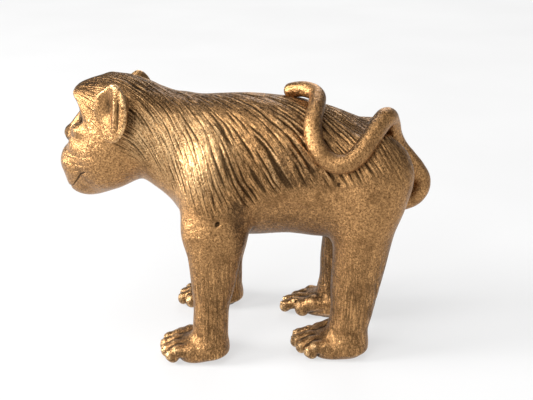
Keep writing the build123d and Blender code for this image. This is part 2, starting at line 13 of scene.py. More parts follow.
import bpy
import numpy as np
from mathutils import Euler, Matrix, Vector


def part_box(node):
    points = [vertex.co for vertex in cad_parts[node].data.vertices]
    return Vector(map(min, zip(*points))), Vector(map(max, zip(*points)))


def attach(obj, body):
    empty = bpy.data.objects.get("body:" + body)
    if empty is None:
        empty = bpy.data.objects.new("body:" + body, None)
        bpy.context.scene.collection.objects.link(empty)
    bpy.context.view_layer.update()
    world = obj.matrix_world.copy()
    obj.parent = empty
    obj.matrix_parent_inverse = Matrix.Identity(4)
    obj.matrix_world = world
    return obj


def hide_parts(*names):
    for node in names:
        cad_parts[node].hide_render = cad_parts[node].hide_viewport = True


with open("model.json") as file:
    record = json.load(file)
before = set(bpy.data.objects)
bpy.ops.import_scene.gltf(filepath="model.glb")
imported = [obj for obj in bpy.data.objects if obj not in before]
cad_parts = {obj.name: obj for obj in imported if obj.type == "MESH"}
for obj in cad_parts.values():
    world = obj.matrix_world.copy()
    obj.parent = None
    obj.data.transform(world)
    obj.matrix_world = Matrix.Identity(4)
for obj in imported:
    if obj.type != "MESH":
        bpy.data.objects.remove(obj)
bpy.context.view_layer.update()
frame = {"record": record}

MM = 0.001
LEFT, RIGHT = -1, 1


def box_mm(name):
    """Lowest and highest corners of a CAD node, in millimetres."""
    low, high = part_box(name)
    return np.array(low) / MM, np.array(high) / MM


# %% [markdown]
# ## Clay
# A figure like this has no flat face and no straight edge, so it is modelled as clay: lumps
# are pressed on and hollows are pushed in, and each one melts a little into its neighbours.
# In numbers, the clay is a grid of distances to the surface, below zero inside.
# The smooth minimum of two distances is a lump that melts into another.
# Sculpting or metaballs give such forms too, but a grid of distances takes hollows as well as
# lumps, and every section of the figure can be cut from the same model.

# %% The clay
Form = namedtuple("Form", "low high distance")
FAR = 60.0
TONGUE_SLOPE = 0.15


def ease(value):
    """A step from 0 to 1 that starts and ends softly."""
    value = np.clip(value, 0, 1)
    return value * value * (3 - 2 * value)


def fade(value, start, end):
    """0 before the start, 1 after the end, and a soft step between; the end may be the lower."""
    return ease((value - start) / (end - start))


def melt(a, b, blend):
    """The smaller of two distances, rounded off where they are within blend of each other."""
    share = np.clip(0.5 + 0.5 * (b - a) / blend, 0, 1)
    return b + (a - b) * share - blend * share * (1 - share)


def melt_both(a, b, blend):
    """The larger of two distances, rounded off: what lies in both forms."""
    return -melt(-a, -b, blend)


class Clay:
    """A grid of distances, in millimetres, to the surface of what has been modelled."""

    def __init__(self, low, high, cell):
        self.cell = cell
        self.lines = [np.arange(a, b + cell, cell) for a, b in zip(low, high)]
        self.distance = np.full([len(line) for line in self.lines], FAR, np.float32)

    def window(self, low, high):
        """The part of the grid between two corners, with its x, y and z."""
        cut = []
        for line, start, end in zip(self.lines, low, high):
            cut.append(slice(np.searchsorted(line, start), np.searchsorted(line, end)))
        lines = [line[part] for line, part in zip(self.lines, cut)]
        return tuple(cut), np.meshgrid(*lines, indexing="ij", sparse=True)

    def add(self, form, blend):
        """Press a form on."""
        cut, place = self.window(form.low - blend, form.high + blend)
        self.distance[cut] = melt(self.distance[cut], form.distance(*place), blend)

    def carve(self, form, blend):
        """Push a form in."""
        cut, place = self.window(form.low - blend, form.high + blend)
        self.distance[cut] = melt_both(self.distance[cut], -form.distance(*place), blend)

    def trim(self, form, blend):
        """Keep only what lies inside a form."""
        place = np.meshgrid(*self.lines, indexing="ij", sparse=True)
        self.distance[:] = melt_both(self.distance, form.distance(*place), blend)

    def press(self, low, high, depth):
        """Push the surface in, or pull it out, by a depth that varies from place to place."""
        cut, place = self.window(np.array(low), np.array(high))
        self.distance[cut] += depth(*place)

    def keep(self, axis, sign, level, tongue=0.0):
        """Slice off what lies beyond a level: sign +1 keeps what is below it, -1 what is above.
        A tongue beyond the level is left, and sinks under the skin of the next piece."""
        shape = [1, 1, 1]
        shape[axis] = -1
        beyond = sign * (self.lines[axis] - level).reshape(shape).astype(np.float32)
        self.distance += TONGUE_SLOPE * np.maximum(beyond, 0)
        self.distance = np.maximum(self.distance, beyond - tongue)

    def volume(self):
        """How much clay there is, in cubic centimetres."""
        return round((self.distance < 0).sum() * (self.cell / 10) ** 3, 1)


print("1 mm away from two lumps, the skin of their 4 mm melt is", melt(1.0, 1.0, 4), "mm away")

# %% [markdown]
# Two plain lumps do most of the work: an egg, which can be turned, and a straight roll with
# round ends. A lump is the corners of its box and a rule for the distance to its surface, so
# that only that part of the grid is worked over.

# %% Eggs and rolls
LEAST_SLOPE = 1e-4


def egg(centre, radii, turn=(0, 0, 0)):
    """An ellipsoid, turned by degrees about x, y and z."""
    centre, radii = np.array(centre, float), np.array(radii, float)
    axes = np.array(Euler([math.radians(angle) for angle in turn]).to_matrix())
    reach = np.sqrt(((axes * radii) ** 2).sum(axis=1))

    def distance(x, y, z):
        away = (x - centre[0], y - centre[1], z - centre[2])
        own = [sum(away[i] * axes[i, k] for i in range(3)) / radii[k] for k in range(3)]
        near = np.sqrt(sum(value ** 2 for value in own))
        slope = np.sqrt(sum((value / radius) ** 2 for value, radius in zip(own, radii)))
        return near * (near - 1) / np.maximum(slope, LEAST_SLOPE)

    return Form(centre - reach, centre + reach, distance)


def limb(start, end, start_radius, end_radius):
    """A straight roll of clay with round ends."""
    start, end = np.array(start, float), np.array(end, float)
    along = end - start
    thick = max(start_radius, end_radius)

    def distance(x, y, z):
        away = (x - start[0], y - start[1], z - start[2])
        share = np.clip(sum(away[i] * along[i] for i in range(3)) / (along @ along), 0, 1)
        gap = np.sqrt(sum((away[i] - share * along[i]) ** 2 for i in range(3)))
        return gap - start_radius - share * (end_radius - start_radius)

    return Form(np.minimum(start, end) - thick, np.maximum(start, end) + thick, distance)


print("an egg of 3, 3 and 9 mm that leans by 45 degrees reaches out by",
      np.round(egg((0, 0, 0), (3, 3, 9), (0, 45, 0)).high, 1), "mm")

# %% [markdown]
# Trunk, head and legs are oval tubes. A table says how thick the tube is at some places along
# it, and a smooth curve fills in between: a few widths are easier to set than many points.
# Creases are lines that are drawn in side view.

# %% Tubes and drawn lines
def smooth_between(place, knots, values):
    """A curve through the values at the knots that doesn't overshoot."""
    step, rise = np.diff(knots), np.diff(values) / np.diff(knots)
    product = np.maximum(rise[1:] * rise[:-1], 0)
    total = np.where(product > 0, rise[1:] + rise[:-1], 1)
    slope = np.concatenate([rise[:1], 2 * product / total, rise[-1:]])
    i = np.clip(np.searchsorted(knots, place) - 1, 0, len(step) - 1)
    u = (place - knots[i]) / step[i]
    flat = values[i] + (values[i + 1] - values[i]) * u * u * (3 - 2 * u)
    start = slope[i] * step[i] * u * (1 - u) ** 2
    return flat + start - slope[i + 1] * step[i] * u * u * (1 - u)


def tube(axis, rows):
    """An oval tube along an axis; a row is its place, its middle and its half widths there."""
    rows = np.array(rows, float)
    first, second = [i for i in range(3) if i != axis]
    low, high = np.zeros(3), np.zeros(3)
    for i, middle, half in ((first, 1, 3), (second, 2, 4)):
        low[i] = np.min(rows[:, middle] - rows[:, half])
        high[i] = np.max(rows[:, middle] + rows[:, half])
    low[axis], high[axis] = rows[0, 0], rows[-1, 0]

    def distance(*place):
        along = np.clip(place[axis], low[axis], high[axis])
        curves = [smooth_between(along, rows[:, 0], rows[:, k]) for k in range(1, 5)]
        middle_1, middle_2, half_1, half_2 = curves
        own_1, own_2 = (place[first] - middle_1) / half_1, (place[second] - middle_2) / half_2
        near = np.sqrt(own_1 ** 2 + own_2 ** 2)
        slope = np.sqrt((own_1 / half_1) ** 2 + (own_2 / half_2) ** 2)
        side = near * (near - 1) / np.maximum(slope, LEAST_SLOPE)
        end = np.maximum(low[axis] - place[axis], place[axis] - high[axis])
        outside = np.hypot(np.maximum(side, 0), np.maximum(end, 0))
        return np.minimum(np.maximum(side, end), 0) + outside

    return Form(low, high, distance)


def line_gap(first, second, line):
    """How far each place is from a line drawn in one view, by its two coordinates there."""
    gap = FAR
    for (a, b), (next_a, next_b) in zip(line, line[1:]):
        along_a, along_b = next_a - a, next_b - b
        share = ((first - a) * along_a + (second - b) * along_b) / (along_a ** 2 + along_b ** 2)
        share = np.clip(share, 0, 1)
        gap = np.minimum(gap, np.hypot(first - a - share * along_a, second - b - share * along_b))
    return gap


print("from (3, 4) to a line along the first axis:", line_gap(3, 4, ((0, 0), (9, 0))), "mm")

# %% [markdown]
# ## From clay to skin
# The clay's surface is where the distance is zero. Each grid cell that the surface crosses
# gets one point, the mean of where it crosses the cell's edges, and the points of neighbouring
# cells are joined to four-sided faces. The skin is closed, and its faces all look outward.
# A Remesh modifier makes a like skin from a mesh. Here the points stay in the script, because
# the comb and the patina are worked out for each of them.

# %% Take the skin off the clay
CORNERS = np.array([(i, j, k) for i in (0, 1) for j in (0, 1) for k in (0, 1)])
EDGES = [(a, b) for a in range(8) for b in range(a + 1, 8)
         if abs(CORNERS[a] - CORNERS[b]).sum() == 1]


def skin(clay):
    """Points in millimetres and four-sided faces of the clay's surface."""
    inside = clay.distance < 0
    shape = np.array(inside.shape) - 1
    crowd = np.zeros(shape, np.uint8)
    for i, j, k in CORNERS:
        crowd += inside[i:i + shape[0], j:j + shape[1], k:k + shape[2]]
    cells = np.argwhere((crowd > 0) & (crowd < 8))
    number = np.full(shape, -1, np.int64)
    number[tuple(cells.T)] = np.arange(len(cells))
    total, count = np.zeros((len(cells), 3)), np.zeros((len(cells), 1))
    for a, b in EDGES:
        here, there = cells + CORNERS[a], cells + CORNERS[b]
        start, end = clay.distance[tuple(here.T)], clay.distance[tuple(there.T)]
        crossed = ((start < 0) != (end < 0))[:, None]
        share = (start / np.where(start == end, 1, start - end))[:, None]
        total += np.where(crossed, here + share * (there - here), 0)
        count += crossed
    low = np.array([line[0] for line in clay.lines])
    return low + clay.cell * total / count, join_cells(inside, number)


def join_cells(inside, number):
    """A face across every grid edge that runs from inside to outside."""
    faces = []
    for axis in range(3):
        one, two = (axis + 1) % 3, (axis + 2) % 3
        start = np.moveaxis(inside, axis, 0)[:-1]
        end = np.moveaxis(inside, axis, 0)[1:]
        edge = np.argwhere(start != end)
        others = [i for i in range(3) if i != axis]
        place = np.empty_like(edge)
        place[:, axis], place[:, others[0]], place[:, others[1]] = edge.T
        outward = start[tuple(edge.T)]
        ring = []
        for shift_one, shift_two in ((-1, -1), (0, -1), (0, 0), (-1, 0)):
            spot = place.copy()
            spot[:, one] += shift_one
            spot[:, two] += shift_two
            ring.append(number[tuple(spot.T)])
        ring = np.stack(ring, axis=1)
        faces.append(np.where(outward[:, None], ring, ring[:, ::-1]))
    return np.concatenate(faces)


ball = Clay((-6, -6, -6), (6, 6, 6), 0.5)
ball.add(egg((0, 0, 0), (5, 4, 3)), 1)
ball_points, ball_faces = skin(ball)
print("test egg:", len(ball_points), "points and", len(ball_faces), "faces; size",
      np.round(np.ptp(ball_points, axis=0), 2))

# %% [markdown]
# ## The animal's rough forms
# The trunk is a barrel that is deepest behind the shoulders and narrows to the rump. The neck
# runs up into the skull without a step. The tables are in millimetres, in the frame of the
# CAD part: x runs from the muzzle to the tail.

# %% Barrel, neck and skull
BARREL = (  # place along x, underside, top, half width
    (-48, 83, 96, 6),
    (-42, 76.5, 102, 14),
    (-37, 71.2, 106, 18),
    (-31, 64.6, 108.5, 20.5),
    (-24, 55.5, 111.3, 22),
    (-12, 51, 112.6, 24.5),
    (2, 49.7, 113.2, 25),
    (18, 51, 112.2, 25),
    (34, 50, 109, 25),
    (48, 51, 104, 24.5),
    (58, 55, 98, 21.5),
    (64, 60.5, 91, 17),
    (68.5, 67, 84, 10.5),
    (71, 73, 78, 3),
)
SKULL = (
    (-73.2, 110.5, 115, 6),
    (-71.5, 106, 116.4, 9.5),
    (-67.5, 96, 118.2, 13.8),
    (-62.5, 84, 119.8, 17.4),
    (-57, 76, 121.2, 20),
    (-50, 74, 120.4, 21),
    (-43, 74.5, 118.3, 20.9),
    (-36, 72.4, 115.4, 20.6),
    (-28, 72, 112.6, 20.2),
    (-16, 83, 106, 17),
)


def lying_tube(table):
    """A tube along x from rows of underside, top and half width."""
    return tube(0, [(x, 0, (low + high) / 2, half, (high - low) / 2) for x, low, high, half in table])


barrel, skull = lying_tube(BARREL), lying_tube(SKULL)
print("barrel and skull are", barrel.high[0] - skull.low[0], "mm long together")

# %% [markdown]
# Each leg is a column that swells into a shoulder or a haunch. Its table starts at the sole.
# Where it stands comes from the CAD leg's pad and dowel, so that it leans as that one does.

# %% Legs
FORE_LEG = (  # height, middle along x and y from the ankle's, half length, half width
    (4, 0, 0, 8, 8.2),
    (13, 0.6, 0.2, 7.8, 7.6),
    (22, 1, 0.9, 7.7, 7.4),
    (33, 1.8, 1.9, 9.3, 8.2),
    (46, 2.4, 3.4, 11.5, 9.2),
    (58, 2.4, 5, 14.5, 10.2),
    (71.5, 2.9, 8.2, 14.8, 10.5),
    (87, 4.4, 12.5, 9.9, 6.9),
)
HIND_LEG = (
    (4, 0, 0, 8.7, 8.5),
    (12.7, 0.3, 0, 9, 8),
    (20.6, 1.7, 0.3, 9.3, 8),
    (31.5, 2.7, 1, 10.6, 8.8),
    (44, 4.2, 1.8, 11.7, 10),
    (57, 5.4, 2.6, 13.1, 11.2),
    (69.5, 7.2, 3.8, 15.5, 12),
    (82, 8.7, 5.2, 16, 11),
    (92, 7.2, 6.8, 13.4, 8),
    (98, 4.8, 8, 9, 5),
)
FOOT_LENGTH = {"foreleg": 30.2, "hind_leg": 33.5}
ANKLE_BEHIND_PAD = {"foreleg": 1.5, "hind_leg": 1.7}
Leg = namedtuple("Leg", "node side kind form ankle heel")


def leg(side, kind):
    """One leg's column and where its foot stands, from the pad and the dowel of the CAD leg."""
    name = ("left_" if side == LEFT else "right_") + kind
    pad, dowel = [np.mean(box_mm(name + end), axis=0) for end in ("_pad", "_dowel")]
    table = np.array(FORE_LEG if kind == "foreleg" else HIND_LEG)
    ankle = (pad[0] + ANKLE_BEHIND_PAD[kind], pad[1])
    joint = np.interp(dowel[2], table[:, 0], table[:, 1])
    stagger = (dowel[0] - ankle[0] - joint) / dowel[2]
    rows = []
    for height, dx, dy, half_length, half_width in table:
        x = ankle[0] + dx + stagger * height
        rows.append((height, x, ankle[1] - side * dy, half_length, half_width))
    return Leg(name, side, kind, tube(2, rows), ankle, box_mm(name)[0][0] + FOOT_LENGTH[kind])


LEGS = [leg(side, kind) for side in (LEFT, RIGHT) for kind in ("foreleg", "hind_leg")]
NECK_X = box_mm("head_casting")[1][0]
KNEE_Z = box_mm("left_foreleg")[1][2]
print("neck joint at x", round(NECK_X, 2), "and leg joints at z", round(KNEE_Z, 2))

# %% [markdown]
# ## Muscle
# A bare tube looks like a toy, so the shoulder blades, the haunches, the elbows and the
# shallow dip between the ribs and the haunch are pressed on and pushed in.

# %% Shoulders, haunches and flanks
def add_trunk(clay):
    """Barrel, neck, skull, legs and muscles, as every piece that touches the trunk sees them."""
    clay.add(barrel, 8)
    clay.add(skull, 7)
    for one in LEGS:
        clay.add(one.form, 7)
    for side in (LEFT, RIGHT):
        clay.add(egg((-10, side * 19, 80), (14, 11.5, 20), (0, -8, 0)), 6)  # shoulder
        clay.add(egg((57, side * 13, 82), (14.5, 11.5, 17), (0, 12, 0)), 6)  # haunch
        clay.carve(egg((20, side * 31, 62), (15, 6, 9)), 8)  # dip behind the ribs
        clay.carve(limb((7, side * 30, 56), (6.5, side * 28, 77), 2.6, 1.6), 4)  # behind the elbow
        clay.carve(limb((34, side * 29, 62), (36, side * 29, 76), 1.8, 1), 7)  # ahead of the thigh


trial = Clay((-90, -45, 0), (85, 45, 125), 2.5)
add_trunk(trial)
print("the rough animal holds", trial.volume(), "cubic centimetres")

# %% [markdown]
# ## The head
# The face is flat under a heavy brow: deep-set eyes, high cheekbones, a short nose bridge and
# a rounded muzzle with a long mouth line. Lines in the skin are drawn in side view, and each
# is pressed in as a soft groove on both sides of the face. A bump in the material would be
# quicker, but it casts no shadow and vanishes at the edge of the face.

# %% Lines of the face
MOUTH = ((-80.5, 69.4), (-77.5, 70.4), (-74.8, 72.6), (-72, 76.2), (-70, 79), (-67.8, 80.4))
CHEEK_CREASE = ((-66.5, 74.4), (-62.5, 78.2), (-58, 81.6))
WRINKLES = (
    ((-79, 88.5), (-74, 87), (-67, 87.5), (-61, 90)),
    ((-80, 84.5), (-74, 83), (-66, 84), (-60, 87)),
    ((-80, 80.5), (-74, 79.8), (-68, 81.5)),
    ((-62, 76.5), (-55, 78), (-49, 80.5)),
)
Line = namedtuple("Line", "points depth width")
FACE_LINES = [Line(MOUTH, 0.45, 0.65), Line(CHEEK_CREASE, 0.25, 0.8)]
FACE_LINES += [Line(points, 0.14, 0.5) for points in WRINKLES]
FACE_LOW, FACE_HIGH = (-84, -22, 66), (-46, 22, 110)


def draw_lines(clay):
    """Mouth, cheek crease and wrinkles, pressed into the skin."""
    for line in FACE_LINES:
        def groove(x, y, z):
            return line.depth * np.exp(-(line_gap(x, z, line.points) / line.width) ** 2) + 0 * y
        clay.press(FACE_LOW, FACE_HIGH, groove)


print(len(FACE_LINES), "lines on each side of the face")

# %% Brow, eyes, muzzle and mouth
def add_face(clay):
    """The face's forms, from the core outward."""
    clay.add(egg((-59.5, 0, 92), (11.5, 16, 20)), 5)  # core
    clay.add(egg((-70.3, 0, 81.5), (11.7, 12.5, 10.8), (0, 6, 0)), 7)  # muzzle
    clay.add(egg((-70, 0, 72.9), (9.4, 9.8, 7.1)), 4)  # chin
    clay.add(egg((-61, 0, 78.4), (12.5, 14.5, 9.2), (0, -8, 0)), 6)  # jaw
    clay.carve(limb((-75, -14, 106.5), (-75, 14, 106.5), 6, 6), 1.2)  # under the brow
    clay.add(limb((-68.5, 0, 105), (-76, 0, 95), 2.4, 2.7), 3)  # bridge of the nose
    clay.add(egg((-76.9, 0, 93.8), (2.8, 3.8, 3.1)), 2)  # tip of the nose
    for side in (LEFT, RIGHT):
        clay.add(egg((-58, side * 9.5, 88), (12, 10, 14)), 6)  # cheek
        clay.add(egg((-69, side * 6.5, 91), (7, 6.5, 7)), 4)  # beside the nose
        clay.add(egg((-67.6, side * 8.6, 98), (6.4, 5.8, 3.6), (0, 0, side * 18)), 3)  # cheekbone
        clay.carve(egg((-71, side * 8.6, 103.6), (4.2, 5.2, 2.7)), 1)  # eye socket
        clay.add(egg((-67.6, side * 8, 103.4), (3, 3.2, 2.8)), 0.4)  # eye
        clay.carve(egg((-79.8, side * 2, 92.6), (1.4, 1, 0.8)), 0.6)  # nostril
    draw_lines(clay)


add_face(trial)
print("with its face it holds", trial.volume(), "cubic centimetres")

# %% [markdown]
# The ears are shallow cups that open forward. Their rims are thick at the back and at the top,
# and run out towards the cheek. The near ear stands higher than the far one. An ear leans out
# of the head, so its form is written in axes of its own and turned into place.

# %% Ears
EAR_WIDTH, EAR_HEIGHT = 9.6, 13.3
EAR_STANDS_OUT = 22
EAR_RISE = {LEFT: 0.3, RIGHT: 1.2}


def ear_axes(side):
    """The ear's own axes: forward, up, and out of the ear's mouth."""
    out = Vector((-0.42, side * 0.9, 0.1)).normalized()
    up = Vector((0.1, 0, 1))
    up = (up - up.dot(out) * out).normalized()
    return np.array([up.cross(out) * side, up, out])


def in_ear(side, centre, form):
    """A form whose distance is written in the ear's own axes."""
    axes = ear_axes(side)

    def distance(x, y, z):
        away = (x - centre[0], y - centre[1], z - centre[2])
        own = [sum(axes[k][i] * away[i] for i in range(3)) for k in range(3)]
        return form(*own)

    reach = 1.5 * EAR_HEIGHT
    return Form(np.array(centre) - reach, np.array(centre) + reach, distance)


def ear_outline(forward, up):
    """How far each place is outside the outline: an oval with a straight upper front edge."""
    near = np.sqrt((forward / EAR_WIDTH) ** 2 + (up / EAR_HEIGHT) ** 2)
    oval = (near - 1) * 0.85 * EAR_WIDTH
    straight = 0.62 * forward + 0.78 * up - 10.3
    return melt_both(oval, straight, 1)


def bump(forward, up, middle, half):
    """A soft hill of height 1, with its middle and half widths in the ear's axes."""
    return np.exp(-((forward - middle[0]) / half[0]) ** 2 - ((up - middle[1]) / half[1]) ** 2)


def ear_cup(forward, up, out):
    """A leaf with a thick back rim, a ridge inside it and a long hollow ahead of the ridge.
    Its lower front edge sinks into the cheek."""
    edge = ear_outline(forward, up)
    hollow = 2.6 * bump(forward, up, (2, 2), (3.4, 7)) + 0.5 * bump(forward, up, (-5, 1), (0.8, 8))
    ridge = 0.9 * bump(forward, up, (-3, 2), (1.3, 9))
    sunk = 1.8 * fade(forward, 2, 8) * fade(up, 1, -8)
    front = 1.7 - 0.1 * forward + 0.08 * up + ridge - hollow - sunk
    inward = np.clip(-edge / (0.85 * EAR_WIDTH), 0, 1)
    back = -3.4 - 0.1 * forward + 3.2 * (1 - inward) ** 3
    return melt_both(edge, melt_both(out - front, back - out, 1), 1.8)


def ear_middle(side):
    """The middle of the CAD ear."""
    return np.mean(box_mm("left_ear" if side == LEFT else "right_ear"), axis=0)


def ear_centre(side):
    """Where the cup's own axes meet."""
    middle = ear_middle(side)
    return (middle[0] - 1.6, side * EAR_STANDS_OUT, middle[2] + EAR_RISE[side])


def add_ear(clay, side):
    """The cup, and the root that joins it to the head."""
    middle = ear_middle(side)
    clay.add(in_ear(side, ear_centre(side), ear_cup), 1)
    clay.add(egg((middle[0] + 1, side * 15, middle[2] - 1.5), (4.5, 4, 9)), 2)


print("ears at heights", [round(ear_centre(side)[2], 1) for side in (LEFT, RIGHT)], "mm")

# %% [markdown]
# ## The feet
# Hands and feet are alike here: a flat palm, four digits that fan a little, and a thumb set
# back on the inner side. Each digit has a raised knuckle and a small round nail. The far feet
# are turned outward. One function makes every digit, so a table of lengths is all that
# a foot needs of its own.

# %% Palms, digits and nails
DIGIT_SHARES = {"foreleg": (0.6, 0.88, 1.0, 0.96), "hind_leg": (0.46, 0.8, 1.0, 0.97)}
DIGIT_ROOT, DIGIT_LENGTH = 0.58, 0.42
DIGIT_RADIUS = 2.6
DIGIT_FAN = 12.0
PALM_SPAN = 14.0
INSTEP_RISE = {"foreleg": 5.2, "hind_leg": 7.3}
SPLAY = {"right_hind_leg": 14.0, "right_foreleg": 6.0}
Thumb = namedtuple("Thumb", "ahead heading length radius")
THUMBS = {"foreleg": Thumb(0.41, 16, 13, 3), "hind_leg": Thumb(0.28, 8, 15.5, 3.6)}
ROOT_HEIGHT = 0.6


def digit(clay, root, heading, length, radius):
    """One bent digit with its nail, heading some degrees off straight ahead."""
    ahead = np.array([-math.cos(math.radians(heading)), -math.sin(math.radians(heading)), 0])
    spots = [root + ahead * length * share + (0, 0, up * radius)
             for share, up in ((-0.3, 2.2), (0.42, 2.05), (0.78, 1.35))]
    tip = root + ahead * (length - 0.95 * radius) + (0, 0, 1.02 * radius)
    clay.add(limb(spots[0], spots[1], 1.1 * radius, 1.06 * radius), 1.4)
    clay.add(limb(spots[1], spots[2], 1.06 * radius, 0.98 * radius), 0.8)
    clay.add(limb(spots[2], tip, 0.98 * radius, radius), 0.8)
    nail = tip + ahead * 0.5 * radius + (0, 0, 0.62 * radius)
    clay.carve(egg(nail, (0.62 * radius, 0.62 * radius, 0.3 * radius), (0, 40, heading)), 0.3)
    clay.add(egg(nail, (0.48 * radius, 0.48 * radius, 0.34 * radius), (0, 40, heading)), 0.3)


def add_foot(clay, one):
    """Instep, palm and digits of one foot, turned outward about the heel by its splay."""
    length, side = FOOT_LENGTH[one.kind], one.side
    splay = SPLAY.get(one.node, 0)
    turn = math.radians(splay)

    def spot(ahead, inward, up):
        x = one.heel - ahead * math.cos(turn) - inward * math.sin(turn)
        y = one.ankle[1] + side * (ahead * math.sin(turn) - inward * math.cos(turn))
        return np.array([x, y, up])

    clay.add(egg(spot(0.27 * length, 0, 5), (0.26 * length, 8.4, INSTEP_RISE[one.kind])), 5)
    clay.add(egg(spot(0.5 * length, 0, 4.2), (0.24 * length, 9.4, 6), (0, 0, -side * splay)), 4)
    for i, share in enumerate(DIGIT_SHARES[one.kind]):
        inward = i / 3 - 0.5
        root = spot(DIGIT_ROOT * length, inward * PALM_SPAN, ROOT_HEIGHT)
        heading = side * (inward * DIGIT_FAN - splay)
        digit(clay, root, heading, share * DIGIT_LENGTH * length, DIGIT_RADIUS)
    thumb = THUMBS[one.kind]
    root = spot(thumb.ahead * length, PALM_SPAN / 2 + 1, ROOT_HEIGHT)
    digit(clay, root, side * (thumb.heading - splay), thumb.length, thumb.radius)


for one in LEGS:
    add_foot(trial, one)
print("with its feet it holds", trial.volume(), "cubic centimetres")

# %% [markdown]
# ## Combing the fur
# The fur runs from the brow over the crown, down the nape, and slants down and backwards over
# the shoulder and the flank. Each point of the skin gets two numbers: how far it lies across
# the strands and how far along them. The first is found by walking the comb over the flank,
# laid out flat: a point carries the number of the strand that passes through it. Hair could
# be combed with a brush, but this fur is cut into metal, and only its direction is needed.

# %% The comb
COMB_PLACES = (-84, -60, -45, -30, -15, 5, 30, 55, 80)
SLANT_AT_SPINE = (8, 14, 26, 40, 42, 30, 26, 34, 50)
SLANT_AT_BELLY = (4, 10, 34, 66, 72, 60, 52, 60, 74)
BELLY_DROP = 45.0
GIRTH = 26.0
STEP = 1.0
COS_45 = math.sqrt(0.5)


def slant(x, drop):
    """Degrees by which the strands point down from straight back."""
    top, low = [np.interp(x, COMB_PLACES, angles) for angles in (SLANT_AT_SPINE, SLANT_AT_BELLY)]
    return top + (low - top) * ease(drop / BELLY_DROP)


def strand_chart():
    """Strand numbers over the flat flank, on a grid turned by 45 degrees."""
    along, across = np.arange(-90, 160, STEP), np.arange(-140, 160, STEP)
    chart = [across.astype(float)]
    for place in along[:-1]:
        x, drop = COS_45 * (place - across), COS_45 * (place + across)
        drift = np.tan(np.radians(slant(x, drop) - 45))
        chart.append(np.interp(across - drift * STEP, across, chart[-1]))
    return along, across, np.array(chart)


def spine_distance(points):
    """How far down from the spine each point lies, over the skin."""
    table = np.array(SKULL[:-3] + BARREL[4:-1], float)
    x, y, z = points.T
    low, high, half = [np.interp(x, table[:, 0], table[:, k]) for k in (1, 2, 3)]
    middle = (low + high) / 2
    angle = np.arctan2(np.abs(y) / half, (z - middle) * 2 / (high - low))
    return GIRTH * np.minimum(angle, math.pi / 2) + np.maximum(middle - z, 0)


ALONG_LINE, ACROSS_LINE, CHART = strand_chart()


def comb(points):
    """Across and along the strands, in millimetres, at each point."""
    drop = spine_distance(points)
    along = COS_45 * (points[:, 0] + drop)
    across = COS_45 * (drop - points[:, 0])
    i = np.clip((along - ALONG_LINE[0]) / STEP, 0, len(ALONG_LINE) - 2)
    j = np.clip((across - ACROSS_LINE[0]) / STEP, 0, len(ACROSS_LINE) - 2)
    row, column = i.astype(int), j.astype(int)
    i, j = i - row, j - column
    upper = CHART[row, column] * (1 - j) + CHART[row, column + 1] * j
    lower = CHART[row + 1, column] * (1 - j) + CHART[row + 1, column + 1] * j
    return upper * (1 - i) + lower * i, along


print("strand numbers from", round(CHART[-1].min()), "to", round(CHART[-1].max()))

# %% [markdown]
# How deep the carver cuts depends on the place. The grooves are deepest on the rear flank
# beside the tail, shallow on the crown and on the shoulder, and they fade out on the face,
# on the lower flank and under the belly. The legs have upright grooves of their own.

# %% How deep to carve
DEPTH_PLACES = (-84, -73, -66, -56, -46, -30, -12, 5, 25, 42, 58, 75)
CARVE_DEPTH = (0, 0.2, 0.38, 0.46, 0.52, 0.44, 0.42, 0.62, 0.78, 0.78, 0.36, 0.2)
FADE_HEIGHT = (116, 106, 99, 92, 82, 72, 58, 66, 74, 75, 75, 74)
FADE_REACH = 15.0
LEG_CARVE_DEPTH = 0.26
MOST_UPRIGHT = 0.75


def flank_depth(points):
    """Depth of the combed strokes, in millimetres."""
    x, _, z = points.T
    depth = np.interp(x, DEPTH_PLACES, CARVE_DEPTH)
    return depth * ease((z - np.interp(x, DEPTH_PLACES, FADE_HEIGHT)) / FADE_REACH)


def leg_depth(points):
    """Depth of the upright strokes, from above the foot to the elbow and the knee."""
    z = points[:, 2]
    return LEG_CARVE_DEPTH * fade(z, 7, 15) * fade(z, 62, 36)


def upright_share(points):
    """How far the grain of the metal stands upright, as on the legs."""
    return MOST_UPRIGHT * fade(points[:, 2], 74, 30)


def nearest_leg(points):
    """For each point, its place beside the centre line of the nearest leg."""
    best = points[:, :2] - LEGS[0].ankle
    for one in LEGS[1:]:
        away = points[:, :2] - one.ankle
        nearer = np.hypot(*away.T) < np.hypot(*best.T)
        best = np.where(nearer[:, None], away, best)
    return best


print("cuts are up to", max(CARVE_DEPTH), "mm deep on the flank and", LEG_CARVE_DEPTH, "mm on the legs")
